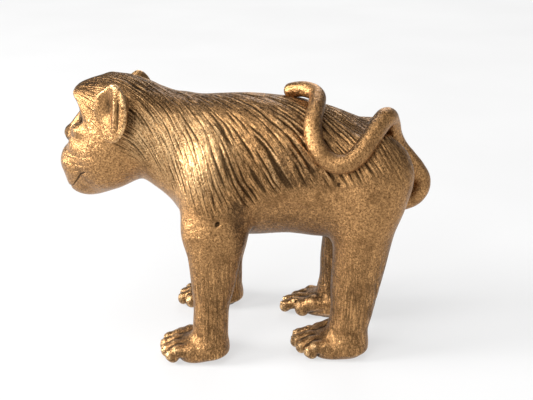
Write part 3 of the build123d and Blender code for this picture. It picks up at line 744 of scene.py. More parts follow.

# %% [markdown]
# Hands rub the patina off the shoulder and the side of the neck, where a painted highlight is
# laid too. The patina stays on the crown, on the ridge of the back and on the toes. Painted
# shade darkens the belly from below, between the legs, the lower flank and the creases, and
# spots at the nose, the eyes, behind the ears and beside the tail. A spot is a place with a soft
# edge, and every spot is there on both sides of the animal. The patina and the painted shade
# could be painted on by hand, but a short list of places is easier to change.

# %% Where the patina stays and the shade is painted
Spot = namedtuple("Spot", "place reach strength")
# painted shade: each spot darkens a recess, a crease or the flank by the tail, where shade falls
PAINTED_SHADE_SPOTS = (
    Spot((-78.5, 1, 94.5), 6, 1),  # nose
    Spot((-69, 10.5, 103.5), 3.4, 1),  # eye
    Spot((-44.5, 21, 116), 4.5, 1),  # behind the ear
    Spot((-44, 22, 107), 4.5, 1),
    Spot((0.5, 29, 70), 5, 0.82),  # crease behind the foreleg
    Spot((3, 30, 63), 6.5, 0.9),
    Spot((6.5, 29, 55), 7.5, 0.95),
    Spot((33, 22, 54), 8, 0.9),  # crease ahead of the hind leg
    Spot((24, 26, 89), 12, 0.6),  # flank beside the tail
    Spot((69, 5, 87), 7, 0.85),  # root of the tail
)
# rubbed wear and a painted highlight: the shoulder and the side of the neck are lifted towards gold
RUBBED_AND_HIGHLIGHT_SPOTS = (
    Spot((-20, 23, 92), 18, 1),  # shoulder
    Spot((-36, 20, 98), 11.5, 1),  # side of the neck
)
RIDGE_STRENGTH = ((-80, -70, -56, -30, 20, 50, 75), (0.1, 0.7, 0.8, 0.8, 0.7, 0.55, 0.3))
RIDGE_WIDTH = ((-70, -45, -10, 40, 75), (18, 20, 14, 22, 18))
# the toes keep patina; the belly and the lower flank get painted shade
TOES_DARK, BELLY_PAINTED_SHADE, LOWER_FLANK_PAINTED_SHADE = 0.6, 0.85, 0.62


def near_spots(points, spots):
    """The strongest of some soft spots at each point, the same on both sides of the animal."""
    most = np.zeros(len(points))
    for spot in spots:
        away = np.abs(points * (0, 1, 0)) + points * (1, 0, 1) - spot.place
        gap = np.sqrt((away ** 2).sum(axis=1))
        most = np.maximum(most, spot.strength * ease(1.4 - gap / spot.reach))
    return most


def patina_and_painted_shade(points):
    """How dark each point is: patina on the crown, the back and the toes, and painted shade under the
    belly, on the lower flank and at the spots.
    """
    x, y, z = points.T
    strength, width = [np.interp(x, *table) for table in (RIDGE_STRENGTH, RIDGE_WIDTH)]
    ridge = strength * ease(1.5 - spine_distance(points) / width)
    toes = TOES_DARK * fade(z, 12, 6) * fade(nearest_leg(points)[:, 0], -4, -16)
    # painted shade under the belly and between the legs
    under = BELLY_PAINTED_SHADE * fade(z, 70, 48) * fade(np.abs(y), 26, 16) * fade(z, 6, 16) * fade(x, -42, -34)
    # painted shade, darker towards the bottom of the flank between the legs
    flank = LOWER_FLANK_PAINTED_SHADE * fade(z, 78, 56) * fade(z, 44, 52) * fade(x, 2, 12) * fade(x, 50, 36)
    return np.maximum.reduce([ridge, toes, under, flank, near_spots(points, PAINTED_SHADE_SPOTS)])


print(len(PAINTED_SHADE_SPOTS), "dark spots and", len(RUBBED_AND_HIGHLIGHT_SPOTS), "rubbed ones on each side")

# %% [markdown]
# ## Node trees
# One helper adds a node with its settings, and either sets or links each of its inputs.
# The others are short names for the nodes that are used most.

# %% The node helpers
def node(tree, kind, inputs=None, **settings):
    """A new node in a tree."""
    made = tree.nodes.new(kind)
    for name, value in settings.items():
        setattr(made, name, value)
    for name, value in (inputs or {}).items():
        if isinstance(value, bpy.types.NodeSocket):
            tree.links.new(value, made.inputs[name])
        else:
            made.inputs[name].default_value = value
    return made


def maths(tree, operation, first, second=0.0):
    """One operation on two numbers."""
    return node(tree, "ShaderNodeMath", {0: first, 1: second}, operation=operation).outputs[0]


def plus(tree, value, other, factor):
    """A value plus another one times a factor."""
    return maths(tree, "ADD", value, maths(tree, "MULTIPLY", other, factor))


def vectors(tree, operation, first, second=(0, 0, 0)):
    """One operation on two vectors; gives the node's outputs."""
    return node(tree, "ShaderNodeVectorMath", {0: first, 1: second}, operation=operation).outputs


def remap(tree, value, start, end, low=0.0, high=1.0):
    """Value from start..end to low..high, eased at both ends."""
    inputs = {"Value": value, "From Min": start, "From Max": end, "To Min": low, "To Max": high}
    return node(tree, "ShaderNodeMapRange", inputs, interpolation_type="SMOOTHSTEP").outputs[0]


def noise(tree, vector, scale, detail=2.0, rough=0.5):
    """Cloudy numbers about 0.5."""
    inputs = {"Vector": vector, "Scale": scale, "Detail": detail, "Roughness": rough}
    return node(tree, "ShaderNodeTexNoise", inputs).outputs[0]


def mix_values(tree, share, first, second):
    """A number between two."""
    return node(tree, "ShaderNodeMix", {"Factor": share, "A": first, "B": second}).outputs[0]


def mix_colours(tree, share, first, second):
    """A colour between two."""
    made = node(tree, "ShaderNodeMix", {"Factor": share}, data_type="RGBA")
    for socket, colour in ((made.inputs[6], first), (made.inputs[7], second)):
        if isinstance(colour, bpy.types.NodeSocket):
            tree.links.new(colour, socket)
        else:
            socket.default_value = (*colour, 1)
    return made.outputs[2]


def new_material(name):
    """An empty material, its tree and the place of each point."""
    made = bpy.data.materials.new(name)
    made.use_nodes = True
    tree = made.node_tree
    tree.nodes.clear()
    return made, tree, node(tree, "ShaderNodeTexCoord").outputs["Object"]


def finish_material(tree, inputs):
    """The shader that ends a material's tree."""
    shader = node(tree, "ShaderNodeBsdfPrincipled", inputs)
    node(tree, "ShaderNodeOutputMaterial", {"Surface": shader.outputs[0]})


# %% [markdown]
# ## Antique bronze
# The metal is brass browned with acid. The patina stays black-brown in the grooves and hollows
# and thin on the open places, where handling has rubbed it golden, most of all on ridges and
# knuckles. The cast surface is finely grainy, so its colour, its roughness and its relief all
# vary from grain to grain, and the grain is drawn out along the fur. An image of metal would
# have to be wrapped round each piece. Noise fills space, so it has no seams at the joints.
# The colour also carries painted shade in the creases, under the belly and inside the tail's bend, and a
# painted highlight on the shoulder and the side of the neck.

# %% The bronze
GOLD, BROWN = (0.68, 0.375, 0.155), (0.18, 0.09, 0.034)
UMBER, BLACK_BROWN = (0.105, 0.06, 0.03), (0.018, 0.01, 0.005)
RUBBED_GOLD_AND_HIGHLIGHT = (0.86, 0.55, 0.27)


def attribute(tree, name, output="Fac"):
    """A number, or a vector, that is stored on the mesh."""
    return node(tree, "ShaderNodeAttribute", attribute_name=name).outputs[output]


def strand_noise(tree, place, furry, upright):
    """Noise that is drawn out along the fur, upright on the legs and plain on bare skin."""
    bare = noise(tree, place, 1000, 2, 0.6)
    fur = noise(tree, attribute(tree, "comb", "Vector"), 2.6, 2, 0.6)
    stalks = noise(tree, attribute(tree, "stalks", "Vector"), 2.2, 2, 0.6)
    return mix_values(tree, upright, mix_values(tree, furry, bare, fur), stalks)


def black_share(tree, strands, lined, fine):
    """How black each place is: in grooves and hollows, between strands, in painted shade and in pores."""
    gaps = maths(tree, "ABSOLUTE", maths(tree, "SUBTRACT", strands, 0.5))
    gaps = maths(tree, "MULTIPLY", remap(tree, gaps, 0, 0.07, 0.8, 0), remap(tree, lined, 0, 1, 0.3, 1))
    hollows = remap(tree, attribute(tree, "hollow"), 0.04, 0.45)
    # the darkest painted shade goes black-brown
    spots = remap(tree, attribute(tree, "dark"), 0.82, 1, 0, 0.75)
    pores = remap(tree, fine, 0.3, 0.42, 0.75, 0)
    share = attribute(tree, "groove")
    for other in (hollows, gaps, spots, pores):
        share = maths(tree, "MAXIMUM", share, other)
    return maths(tree, "MULTIPLY", share, remap(tree, fine, 0.2, 0.8, 1, 0.7))


def bronze_colour(tree, speckle, blotch, black):
    """Brown to gold by the grain, then umber for patina and painted shade, rubbed gold with a painted
    highlight, and black where they belong.
    """
    dark, rubbed = attribute(tree, "dark"), attribute(tree, "rubbed")
    # the shoulder and the neck are lifted towards gold: rubbed wear and a painted highlight
    bright = remap(tree, plus(tree, speckle, rubbed, 0.14), 0.32, 0.66)
    colour = mix_colours(tree, bright, BROWN, GOLD)
    colour = mix_colours(tree, remap(tree, blotch, 0.46, 0.7, 0, 0.62), colour, BROWN)
    # umber where the patina stays and where shade is painted
    patina_and_shade = maths(tree, "MULTIPLY", dark, remap(tree, speckle, 0.42, 0.62, 1, 0.3))
    colour = mix_colours(tree, patina_and_shade, colour, UMBER)
    # raised places are rubbed gold, and the shoulder and the neck also get a painted highlight
    ridges = remap(tree, attribute(tree, "hollow"), -0.8, -0.3, 0.9, 0)
    polish_and_highlight = maths(tree, "MAXIMUM", rubbed, ridges)
    polish_and_highlight = maths(tree, "MULTIPLY", polish_and_highlight, remap(tree, speckle, 0.4, 0.56))
    colour = mix_colours(tree, polish_and_highlight, colour, RUBBED_GOLD_AND_HIGHLIGHT)
    return mix_colours(tree, black, colour, BLACK_BROWN)


def bronze():
    """The metal of every casting."""
    made, tree, place = new_material("antique bronze")
    grain, fine = noise(tree, place, 1500, 3, 0.65), noise(tree, place, 2600, 2, 0.7)
    blotch, lumps = noise(tree, place, 130, 4, 0.65), noise(tree, place, 320, 3, 0.6)
    furry, upright = remap(tree, attribute(tree, "fur"), 0.02, 0.4), attribute(tree, "upright")
    strands = strand_noise(tree, place, furry, upright)
    speckle = plus(tree, maths(tree, "MULTIPLY", grain, 0.6), strands, 0.4)
    black = black_share(tree, strands, maths(tree, "MAXIMUM", furry, upright), fine)
    rough = plus(tree, remap(tree, grain, 0.3, 0.7, 0.24, 0.44), black, 0.25)
    height = plus(tree, plus(tree, speckle, fine, 0.35), lumps, 2.2)
    relief = node(tree, "ShaderNodeBump", {"Strength": 0.75, "Distance": 0.0004, "Height": height})
    finish_material(tree, {"Base Color": bronze_colour(tree, speckle, blotch, black),
                           "Metallic": 1.0, "Roughness": rough, "Normal": relief.outputs[0]})
    return made


antique_bronze = bronze()
print("material:", antique_bronze.name, "with", len(antique_bronze.node_tree.nodes), "nodes")

# %% [markdown]
# ## Carving
# The carver's cuts follow the comb: strokes side by side, one to each strand, which swerve a
# little, start and stop. The skin is pushed in along them. The same tree measures how hollow
# or how raised each place is, because the patina gathers in hollows and is rubbed off ridges.
# A Displace modifier could push the skin in, but a node tree can also store what it measures.

# %% The carving tree
SWERVE = 3.4
BLUR_STEPS = 24
BLUR_SCALE = 0.0004  # metres of hollow that count as one


def new_tree(name, inputs):
    """A geometry tree with its named inputs; gives the tree and what comes in."""
    tree = bpy.data.node_groups.new(name, "GeometryNodeTree")
    tree.is_modifier = True
    for label, kind in {"Geometry": "Geometry", **inputs, "Material": "Material"}.items():
        tree.interface.new_socket(label, in_out="INPUT", socket_type="NodeSocket" + kind)
    tree.interface.new_socket("Geometry", in_out="OUTPUT", socket_type="NodeSocketGeometry")
    return tree, node(tree, "NodeGroupInput").outputs


def finish_tree(tree, geometry, material):
    """Make a tree's result one mesh in one material."""
    whole = node(tree, "GeometryNodeRealizeInstances", {"Geometry": geometry}).outputs[0]
    dressed = node(tree, "GeometryNodeSetMaterial", {"Geometry": whole, "Material": material})
    node(tree, "NodeGroupOutput", {"Geometry": dressed.outputs[0]})


def named(tree, name, data_type="FLOAT"):
    """What a mesh stores under a name."""
    return node(tree, "GeometryNodeInputNamedAttribute", {"Name": name}, data_type=data_type).outputs[0]


def store(tree, geometry, name, value):
    """The geometry, with a number stored under a name."""
    inputs = {"Geometry": geometry, "Name": name, "Value": value}
    return node(tree, "GeometryNodeStoreNamedAttribute", inputs, data_type="FLOAT").outputs[0]


def cuts(tree, comb_name, depth_name, width):
    """Depth, in millimetres, of strokes side by side that swerve a little, start and stop."""
    vector = named(tree, comb_name, "FLOAT_VECTOR")
    across = node(tree, "ShaderNodeSeparateXYZ", {"Vector": vector}).outputs["X"]
    turn = maths(tree, "FRACT", plus(tree, across, noise(tree, vector, 0.5, 2), SWERVE))
    line = maths(tree, "ABSOLUTE", maths(tree, "SUBTRACT", turn, 0.5))
    stroke = remap(tree, noise(tree, vector, 1.1, 1), 0.34, 0.54)
    share = maths(tree, "MULTIPLY", remap(tree, line, 0, width, 1, 0), stroke)
    return maths(tree, "MULTIPLY", share, named(tree, depth_name))


def carving_tree():
    """Pushes the skin in along the strokes and stores how grooved and how hollow it is."""
    tree, given = new_tree("carve fur", {"Groove width": "Float"})
    width = given["Groove width"]
    depth = maths(tree, "ADD", cuts(tree, "comb", "fur", width), cuts(tree, "stalks", "leg_fur", width))
    normal = node(tree, "GeometryNodeInputNormal").outputs[0]
    push = {0: normal, "Scale": maths(tree, "MULTIPLY", depth, -MM)}
    push = node(tree, "ShaderNodeVectorMath", push, operation="SCALE").outputs[0]
    grooved = store(tree, given["Geometry"], "groove", remap(tree, depth, 0.06, 0.36))
    carved = node(tree, "GeometryNodeSetPosition", {"Geometry": grooved, "Offset": push}).outputs[0]
    place = node(tree, "GeometryNodeInputPosition").outputs[0]
    blur = {"Value": place, "Iterations": BLUR_STEPS}
    blurred = node(tree, "GeometryNodeBlurAttribute", blur, data_type="FLOAT_VECTOR").outputs[0]
    rise = vectors(tree, "DOT_PRODUCT", vectors(tree, "SUBTRACT", blurred, place)[0], normal)["Value"]
    hollowed = store(tree, carved, "hollow", maths(tree, "DIVIDE", rise, BLUR_SCALE))
    finish_tree(tree, hollowed, given["Material"])
    return tree


carve_fur = carving_tree()
print("carving tree with", len(carve_fur.nodes), "nodes")

# %% [markdown]
# A finished piece is the skin of its clay, with the comb, the depths, the patina, the painted
# shade and the painted highlight stored at its points, run through the carving tree. It takes
# the place of the CAD nodes that it shows.

# %% From clay to finished piece
STRAND_WIDTH, STRAND_LENGTH = 2.5, 18.0
LEG_STRAND_WIDTH, LEG_STRAND_LENGTH = 2.2, 26.0
SIDE_SPREAD = 24
GROOVE_WIDTH = 0.34


def bake_nodes(thing, tree, values):
    """Run a node tree on an object and keep the plain mesh that it makes."""
    modifier = thing.modifiers.new(tree.name, "NODES")
    modifier.node_group = tree
    for name, value in values.items():
        modifier[tree.interface.items_tree[name].identifier] = value
    graph = bpy.context.evaluated_depsgraph_get()
    made = bpy.data.meshes.new_from_object(thing.evaluated_get(graph), depsgraph=graph)
    thing.modifiers.clear()
    return made


def add_object(name, data):
    """A new object in the scene, at the origin."""
    made = bpy.data.objects.new(name, data)
    bpy.context.collection.objects.link(made)
    return made


def put(mesh, name, values):
    """Store a number or a vector at each point."""
    kind, key = ("FLOAT_VECTOR", "vector") if values.ndim == 2 else ("FLOAT", "value")
    layer = mesh.attributes.new(name, kind, "POINT")
    layer.data.foreach_set(key, np.ravel(values).astype(np.float32))


def mark(mesh, points, fur):
    """Store what the carving tree and the bronze read."""
    across, along = comb(points)
    strands = (across / STRAND_WIDTH, along / STRAND_LENGTH, points[:, 1] / SIDE_SPREAD)
    put(mesh, "comb", np.column_stack(strands))
    put(mesh, "fur", fur * flank_depth(points))
    beside = nearest_leg(points) / LEG_STRAND_WIDTH
    put(mesh, "stalks", np.column_stack([beside, points[:, 2] / LEG_STRAND_LENGTH]))
    put(mesh, "leg_fur", fur * leg_depth(points))
    # patina and painted shade
    put(mesh, "dark", patina_and_painted_shade(points))
    # rubbed wear and painted highlight
    put(mesh, "rubbed", near_spots(points, RUBBED_AND_HIGHLIGHT_SPOTS))
    put(mesh, "upright", upright_share(points))


def piece_from(name, clay, nodes, fur=1.0):
    """A finished piece of bronze from its clay, in place of the CAD nodes."""
    points, faces = skin(clay)
    mesh = bpy.data.meshes.new(name)
    mesh.from_pydata((points * MM).tolist(), [], faces.tolist())
    mesh.shade_smooth()
    mark(mesh, points, fur)
    thing = add_object(name, mesh)
    thing.data = bake_nodes(thing, carve_fur, {"Groove width": GROOVE_WIDTH, "Material": antique_bronze})
    thing.data.name = name
    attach(thing, "root")
    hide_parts(*nodes)
    print(name, "has", 2 * len(thing.data.polygons), "triangles")


# %% [markdown]
# ## The castings
# Every section is taken from the same clay, so that their skins meet at the joints, and each
# reaches a little way into its neighbour, as a fettled joint shows no line. The trunk is made
# in two halves, so that neither mesh is too large.

# %% Trunk
OVERLAP = 2.4
PLUG_GAP = 0.25
SPLIT_X = 16.0
TRUNK_CELL = 0.48
trunk_low, trunk_high = box_mm("torso_casting")
plug_low, plug_high = box_mm("belly_core_plug")
plug_middle = (plug_low + plug_high) / 2
PLUG_RADIUS = (plug_high[0] - plug_low[0]) / 2


def post(radius):
    """An upright post through the belly, as thick as the plug."""
    def distance(x, y, z):
        return np.hypot(x - plug_middle[0], y - plug_middle[1]) - radius + 0 * z
    return Form(plug_low - 2, plug_high + (2, 2, 0), distance)


def casting_pits(clay):
    """Small pits where the core pins of the casting were."""
    for name, size in (("core_pin_plug_1", 1), ("core_pin_plug_2", 0.65)):
        low, high = box_mm(name)
        x, z = (low[0] + high[0]) / 2, (low[2] + high[2]) / 2
        radii = size * np.array((0.9, 1.2, 1.3))
        clay.carve(egg((x, low[1] + 0.4, z), radii, (0, 20, 0)), 0.5)


def trunk_piece(name, start, end, nodes):
    """The stretch of the trunk between two places along x."""
    low = (start - 4, trunk_low[1] - 3, KNEE_Z - 4)
    high = (end + 4, trunk_high[1] + 3, trunk_high[2] + 3)
    clay = Clay(low, high, TRUNK_CELL)
    add_trunk(clay)
    add_face(clay)
    casting_pits(clay)
    clay.carve(post(PLUG_RADIUS + PLUG_GAP), 0.3)
    clay.keep(0, -1, start, OVERLAP)
    clay.keep(0, 1, end, OVERLAP)
    clay.keep(2, -1, KNEE_Z, OVERLAP)
    piece_from(name, clay, nodes)


trunk_piece("trunk_fore", NECK_X, SPLIT_X,
            ("torso_casting", "neck_pin_1", "neck_pin_3", "core_pin_plug_1"))
trunk_piece("trunk_hind", SPLIT_X, trunk_high[0] + 2, ("torso_casting", "core_pin_plug_2"))

# %% Belly plug
PLUG_CELL = 0.25
clay = Clay(plug_low - (1, 1, 3), plug_high + (1, 1, 1), PLUG_CELL)
add_trunk(clay)
clay.trim(post(PLUG_RADIUS), 0.3)
clay.keep(2, 1, plug_high[2] - 0.5)
piece_from("belly_plug", clay, ("belly_core_plug",))

# %% Head and ears
HEAD_CELL = 0.34
head_low, head_high = box_mm("head_casting")
clay = Clay(head_low - 3, head_high + (4, 3, 3), HEAD_CELL)
add_trunk(clay)
add_face(clay)
for side in (LEFT, RIGHT):
    x, y, z = ear_centre(side)
    clay.carve(egg((x - 1.5, y, z + 1.5), (4.5, 5, 9)), 2)
clay.keep(0, 1, NECK_X, OVERLAP)
piece_from("head", clay, ("head_casting", "neck_pin_2", "neck_pin_4"))
for side, name in ((LEFT, "left_ear"), (RIGHT, "right_ear")):
    low, high = box_mm(name)
    clay = Clay(low - 6, high + 6, HEAD_CELL)
    add_ear(clay, side)
    piece_from(name + "_cup", clay, (name,), fur=0)

# %% Legs and feet
LEG_CELL = 0.36
for one in LEGS:
    low, high = box_mm(one.node)
    outward = (3, 9) if one.side == RIGHT else (9, 3)
    clay = Clay(low - (3, outward[0], 3), high + (3, outward[1], 4), LEG_CELL)
    add_trunk(clay)
    clay.keep(1, one.side * -1, 0)
    add_foot(clay, one)
    clay.keep(2, -1, low[2])
    clay.keep(2, 1, KNEE_Z, OVERLAP)
    piece_from(one.node + "_and_foot", clay, (one.node,))

# %% [markdown]
# ## The tail
# The tail is a plain tapering rod, bent into an S behind the rump and laid over the back.
# It is swept along a smooth line by a node tree, and its end is rounded off by the radius.
# It is painted darker on the inside of the bend, as painted shade. A curve's own bevel could
# sweep it, but the tree also tapers it, closes its end and stores the painted shade.

# %% The tail
TAIL_PATH = (
    (63, 0, 66), (71.5, 0.5, 67), (76, 1, 70), (77.6, 2, 75), (75.3, 2, 80), (71.3, 2, 85),
    (67.3, 1.5, 90), (64.4, 0, 96), (63, -3, 102.4), (61.4, -7.5, 106), (58.6, -12, 104.4),
    (54.5, -19, 99.4), (49.4, -24.5, 93.8), (44, -27, 91), (38, -26.5, 92), (33, -25, 97),
    (31, -21.5, 103), (31, -17, 107.5), (32, -10, 111.5), (31.5, -3, 114), (27.5, 1.5, 115),
    (23, 4, 114.5), (17.5, 6.7, 112.6),
)
TAIL_RADIUS, TAIL_TIP = 4.5, 0.72
# the point that the tail's painted shade faces
TAIL_BEND = (46, -14, 112)
TAIL_STEPS, TAIL_SIDES = 420, 72


def tail_thickness(tree, given):
    """A share of the radius that tapers to the tip and is rounded off there."""
    share = node(tree, "GeometryNodeSplineParameter").outputs["Factor"]
    lost = maths(tree, "SUBTRACT", 1.0, given["Tip share"])
    lost = maths(tree, "MULTIPLY", maths(tree, "POWER", share, 2.0), lost)
    left = maths(tree, "DIVIDE", maths(tree, "SUBTRACT", 1.0, share), given["Round share"])
    back = maths(tree, "SUBTRACT", 1.0, maths(tree, "MINIMUM", left, 1.0))
    dome = maths(tree, "SQRT", maths(tree, "SUBTRACT", 1.0, maths(tree, "MULTIPLY", back, back)))
    taper = maths(tree, "SUBTRACT", 1.0, lost)
    return maths(tree, "MULTIPLY", taper, maths(tree, "MAXIMUM", dome, 0.02))


def sweep_tree():
    """Sweeps a ring along the tail's line and stores painted shade on the inside of its bend."""
    inputs = {"Radius": "Float", "Tip share": "Float", "Round share": "Float", "Bend": "Vector"}
    tree, given = new_tree("sweep tail", inputs)
    path = node(tree, "GeometryNodeResampleCurve", {"Curve": given["Geometry"], "Count": TAIL_STEPS})
    ring = {"Resolution": TAIL_SIDES, "Radius": given["Radius"]}
    ring = node(tree, "GeometryNodeCurvePrimitiveCircle", ring)
    rod = {"Curve": path.outputs[0], "Profile Curve": ring.outputs[0],
           "Scale": tail_thickness(tree, given), "Fill Caps": True}
    rod = node(tree, "GeometryNodeCurveToMesh", rod)
    place, normal = [node(tree, "GeometryNodeInput" + kind).outputs[0] for kind in ("Position", "Normal")]
    inward = vectors(tree, "NORMALIZE", vectors(tree, "SUBTRACT", given["Bend"], place)[0])[0]
    facing = vectors(tree, "DOT_PRODUCT", inward, normal)["Value"]
    # painted shade: darker where the rod faces the inside of its bend
    darkened = store(tree, rod.outputs[0], "dark", remap(tree, facing, 0.2, 0.9, 0, 0.85))
    smooth = node(tree, "GeometryNodeSetShadeSmooth", {"Geometry": darkened})
    finish_tree(tree, smooth.outputs[0], given["Material"])
    return tree


def tail_line():
    """The smooth line that the tail follows."""
    line = bpy.data.curves.new("tail line", "CURVE")
    line.dimensions = "3D"
    spline = line.splines.new("BEZIER")
    spline.bezier_points.add(len(TAIL_PATH) - 1)
    for point, place in zip(spline.bezier_points, TAIL_PATH):
        point.co = Vector(place) * MM
        point.handle_left_type = point.handle_right_type = "AUTO"
    spline.resolution_u = 16
    return add_object("tail line", line)


path = tail_line()
length = sum((Vector(a) - Vector(b)).length for a, b in zip(TAIL_PATH, TAIL_PATH[1:]))
values = {"Radius": TAIL_RADIUS * MM, "Tip share": TAIL_TIP,
          "Round share": TAIL_RADIUS * TAIL_TIP / length, "Bend": Vector(TAIL_BEND) * MM,
          "Material": antique_bronze}
tail = add_object("tail_rod", bake_nodes(path, sweep_tree(), values))
bpy.data.objects.remove(path)
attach(tail, "root")
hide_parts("tail")
print("tail is", round(length), "mm long and has", len(tail.data.polygons), "faces")

# %% [markdown]
# ## Felt and pins
# A felt pad is let into each sole: an oval cut from a sheet, with its lower edge worn round.
# The felt is matted wool, so its colour and relief follow fine fibres. A bevelled disc would
# do as well, but a few rings of points give the worn edge its own curve.

# %% Felt pads
PAD_RINGS, PAD_SIDES = 4, 64
PAD_FLAT_SHARE, PAD_DRAW_IN = 0.86, 0.04


def felt():
    """Dark green pressed wool."""
    made, tree, place = new_material("pressed felt")
    fibres, tufts = noise(tree, place, 2400, 4, 0.7), noise(tree, place, 500, 2)
    colour = mix_colours(tree, remap(tree, fibres, 0.3, 0.7), (0.035, 0.05, 0.035), (0.1, 0.13, 0.1))
    rough = remap(tree, tufts, 0.3, 0.7, 0.85, 1)
    relief = node(tree, "ShaderNodeBump", {"Strength": 0.6, "Distance": 0.0003, "Height": fibres})
    finish_material(tree, {"Base Color": colour, "Roughness": rough, "Normal": relief.outputs[0],
                           "Sheen Weight": 0.4})
    return made


def pad_levels():
    """Width and height shares of the pad's rings, from its flat underside to its top."""
    levels = [(PAD_FLAT_SHARE, 0)]
    for i in range(PAD_RINGS + 1):
        levels.append((1 - PAD_DRAW_IN * (1 - i / PAD_RINGS) ** 2, 0.1 + 0.9 * i / PAD_RINGS))
    return levels


def pad(name, material):
    """An oval pad with a rounded lower edge."""
    low, high = box_mm(name)
    middle, half = (low + high) / 2, (high - low) / 2
    levels = pad_levels()
    points, faces = [], []
    for share, up in levels:
        for k in range(PAD_SIDES):
            angle = 2 * math.pi * k / PAD_SIDES
            x = middle[0] + share * half[0] * math.cos(angle)
            y = middle[1] + share * half[1] * math.sin(angle)
            points.append((x * MM, y * MM, (low[2] + up * (high[2] - low[2])) * MM))
    for i in range(len(levels) - 1):
        ring, above = i * PAD_SIDES, (i + 1) * PAD_SIDES
        for k in range(PAD_SIDES):
            after = (k + 1) % PAD_SIDES
            faces.append((ring + k, ring + after, above + after, above + k))
    faces.append(tuple(reversed(range(PAD_SIDES))))
    faces.append(tuple(range((len(levels) - 1) * PAD_SIDES, len(levels) * PAD_SIDES)))
    mesh = bpy.data.meshes.new(name + "_felt")
    mesh.from_pydata(points, [], faces)
    mesh.materials.append(material)
    thing = add_object(name + "_felt", mesh)
    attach(thing, "root")
    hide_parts(name)


pressed_felt = felt()
for one in LEGS:
    pad(one.node + "_pad", pressed_felt)
print(len(LEGS), "pads of", len(pad_levels()), "rings each")

# %% [markdown]
# The dowels and pins inside the castings can't be seen, but they are drawn rod and sawn brass,
# so they get a finish of their own: fine lines along the way that they were drawn or filed.
# The CAD part has their shapes right already, so only the material is new.

# %% Rods and sleeve
def bare_metal(name, dark, light, scale):
    """Metal with fine lines; the scale stretches them."""
    made, tree, place = new_material(name)
    streak = node(tree, "ShaderNodeMapping", {"Vector": place, "Scale": scale})
    lines = noise(tree, streak.outputs[0], 1, 4, 0.6)
    colour = mix_colours(tree, remap(tree, lines, 0.3, 0.7), dark, light)
    rough = remap(tree, lines, 0.3, 0.7, 0.25, 0.4)
    relief = node(tree, "ShaderNodeBump", {"Strength": 0.2, "Distance": 0.0001, "Height": lines})
    finish_material(tree, {"Base Color": colour, "Metallic": 1.0, "Roughness": rough,
                           "Normal": relief.outputs[0]})
    return made


FINISHES = {
    "steel_rod": bare_metal("drawn steel", (0.42, 0.42, 0.43), (0.62, 0.62, 0.63), (3000, 3000, 60)),
    "bare_brass": bare_metal("filed brass", (0.5, 0.36, 0.16), (0.72, 0.56, 0.3), (80, 2500, 2500)),
}
finished = []
for row in frame["record"]["subparts"]:
    thing = bpy.data.objects.get(row["node"])
    finish = FINISHES.get(row["material_slot"])
    if thing and finish and not thing.hide_render:
        thing.data.materials.clear()
        thing.data.materials.append(finish)
        finished.append(row["node"])
print(len(finished), "inner pieces have bare metal")

# %% [markdown]
# ## Stage
# The figure stands on a white sheet. The sheet sends little light up to the figure, but looks
# white to the camera and in the metal. A plain white floor would light the belly from below
# and wash out the dark places there.

# %% Floor
FLOOR_REACH = 6.0
SHEET_GLOW = 0.6
scene = bpy.context.scene
scene.view_settings.view_transform = "Standard"


def white_sheet():
    """A pale matt sheet that glows where the camera or the metal sees it."""
    made, tree, place = new_material("white sheet")
    tone = remap(tree, noise(tree, place, 6, 2), 0.3, 0.7)
    colour = mix_colours(tree, tone, (0.25, 0.25, 0.25), (0.27, 0.27, 0.27))
    ray = node(tree, "ShaderNodeLightPath").outputs
    seen = maths(tree, "MAXIMUM", ray["Is Camera Ray"], ray["Is Glossy Ray"])
    seen = maths(tree, "MAXIMUM", seen, ray["Is Transmission Ray"])
    glow = maths(tree, "MULTIPLY", seen, SHEET_GLOW)
    finish_material(tree, {"Base Color": colour, "Roughness": 0.9, "Specular IOR Level": 0.1,
                           "Emission Color": (1, 1, 1, 1), "Emission Strength": glow})
    return made


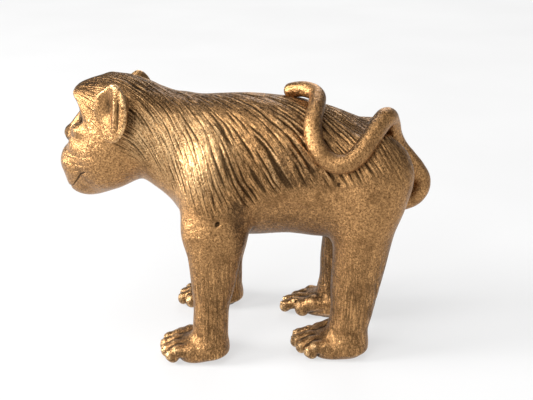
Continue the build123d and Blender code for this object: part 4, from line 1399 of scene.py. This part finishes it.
floor_mesh = bpy.data.meshes.new("floor")
floor_corners = [(x * FLOOR_REACH, y * FLOOR_REACH, 0) for x, y in ((-1, -1), (1, -1), (1, 1), (-1, 1))]
floor_mesh.from_pydata(floor_corners, [], [(0, 1, 2, 3)])
floor_mesh.materials.append(white_sheet())
floor = add_object("floor", floor_mesh)
print("floor", 2 * FLOOR_REACH, "m wide")

# %% [markdown]
# The key lamp is low on the left, large soft ones hang in front and overhead, a weak one fills
# in from the right, and one lights the sheet behind. The world adds an even, weak light.

# %% Lamps and world
Lamp = namedtuple("Lamp", "name place target size power")
LAMPS = (  # metres and watts
    Lamp("key", (-1.5, -0.32, 0.64), (0, 0, 0.07), 0.72, 40),
    Lamp("front", (-0.7, -1.3, 1), (0, 0, 0.06), 1.2, 15),
    Lamp("top", (-0.4, -0.5, 1.9), (0, 0, 0.06), 1.4, 14),
    Lamp("fill", (1.4, -1, 0.9), (0, 0, 0.06), 1.2, 4),
    Lamp("back", (0.1, 1.9, 1.2), (0.05, 0.9, 0), 1.2, 14),
)
WORLD_STRENGTH = 0.3


def aim(thing, place, target):
    """Put a lamp or a camera at a place and point it at a target."""
    thing.location = place
    thing.rotation_euler = (Vector(target) - Vector(place)).to_track_quat("-Z", "Y").to_euler()


for one in LAMPS:
    light = bpy.data.lights.new(one.name, "AREA")
    light.shape, light.size, light.energy = "DISK", one.size, one.power
    aim(add_object(one.name, light), one.place, one.target)
world = bpy.data.worlds.new("studio")
world.use_nodes = True
world.node_tree.nodes.clear()
sky = node(world.node_tree, "ShaderNodeBackground", {"Color": (1, 1, 1, 1), "Strength": WORLD_STRENGTH})
node(world.node_tree, "ShaderNodeOutputWorld", {"Surface": sky.outputs[0]})
scene.world = world
print(len(LAMPS), "lamps of", sum(one.power for one in LAMPS), "watts in all")

# %% [markdown]
# The camera looks down a little on the figure's left side, from somewhat behind its middle.
# A lens a little longer than normal keeps the near legs from looking too large.

# %% Camera
CAMERA_PLACE, CAMERA_TARGET = Vector((44.9, -398.5, 210.3)), Vector((10, 0, 64.7))
camera_data = bpy.data.cameras.new("camera")
camera_data.lens, camera_data.sensor_width = 64.4, 36
camera = add_object("camera", camera_data)
aim(camera, CAMERA_PLACE * MM, CAMERA_TARGET * MM)
scene.camera = camera
print("camera", round((CAMERA_TARGET - CAMERA_PLACE).length), "mm from its target")
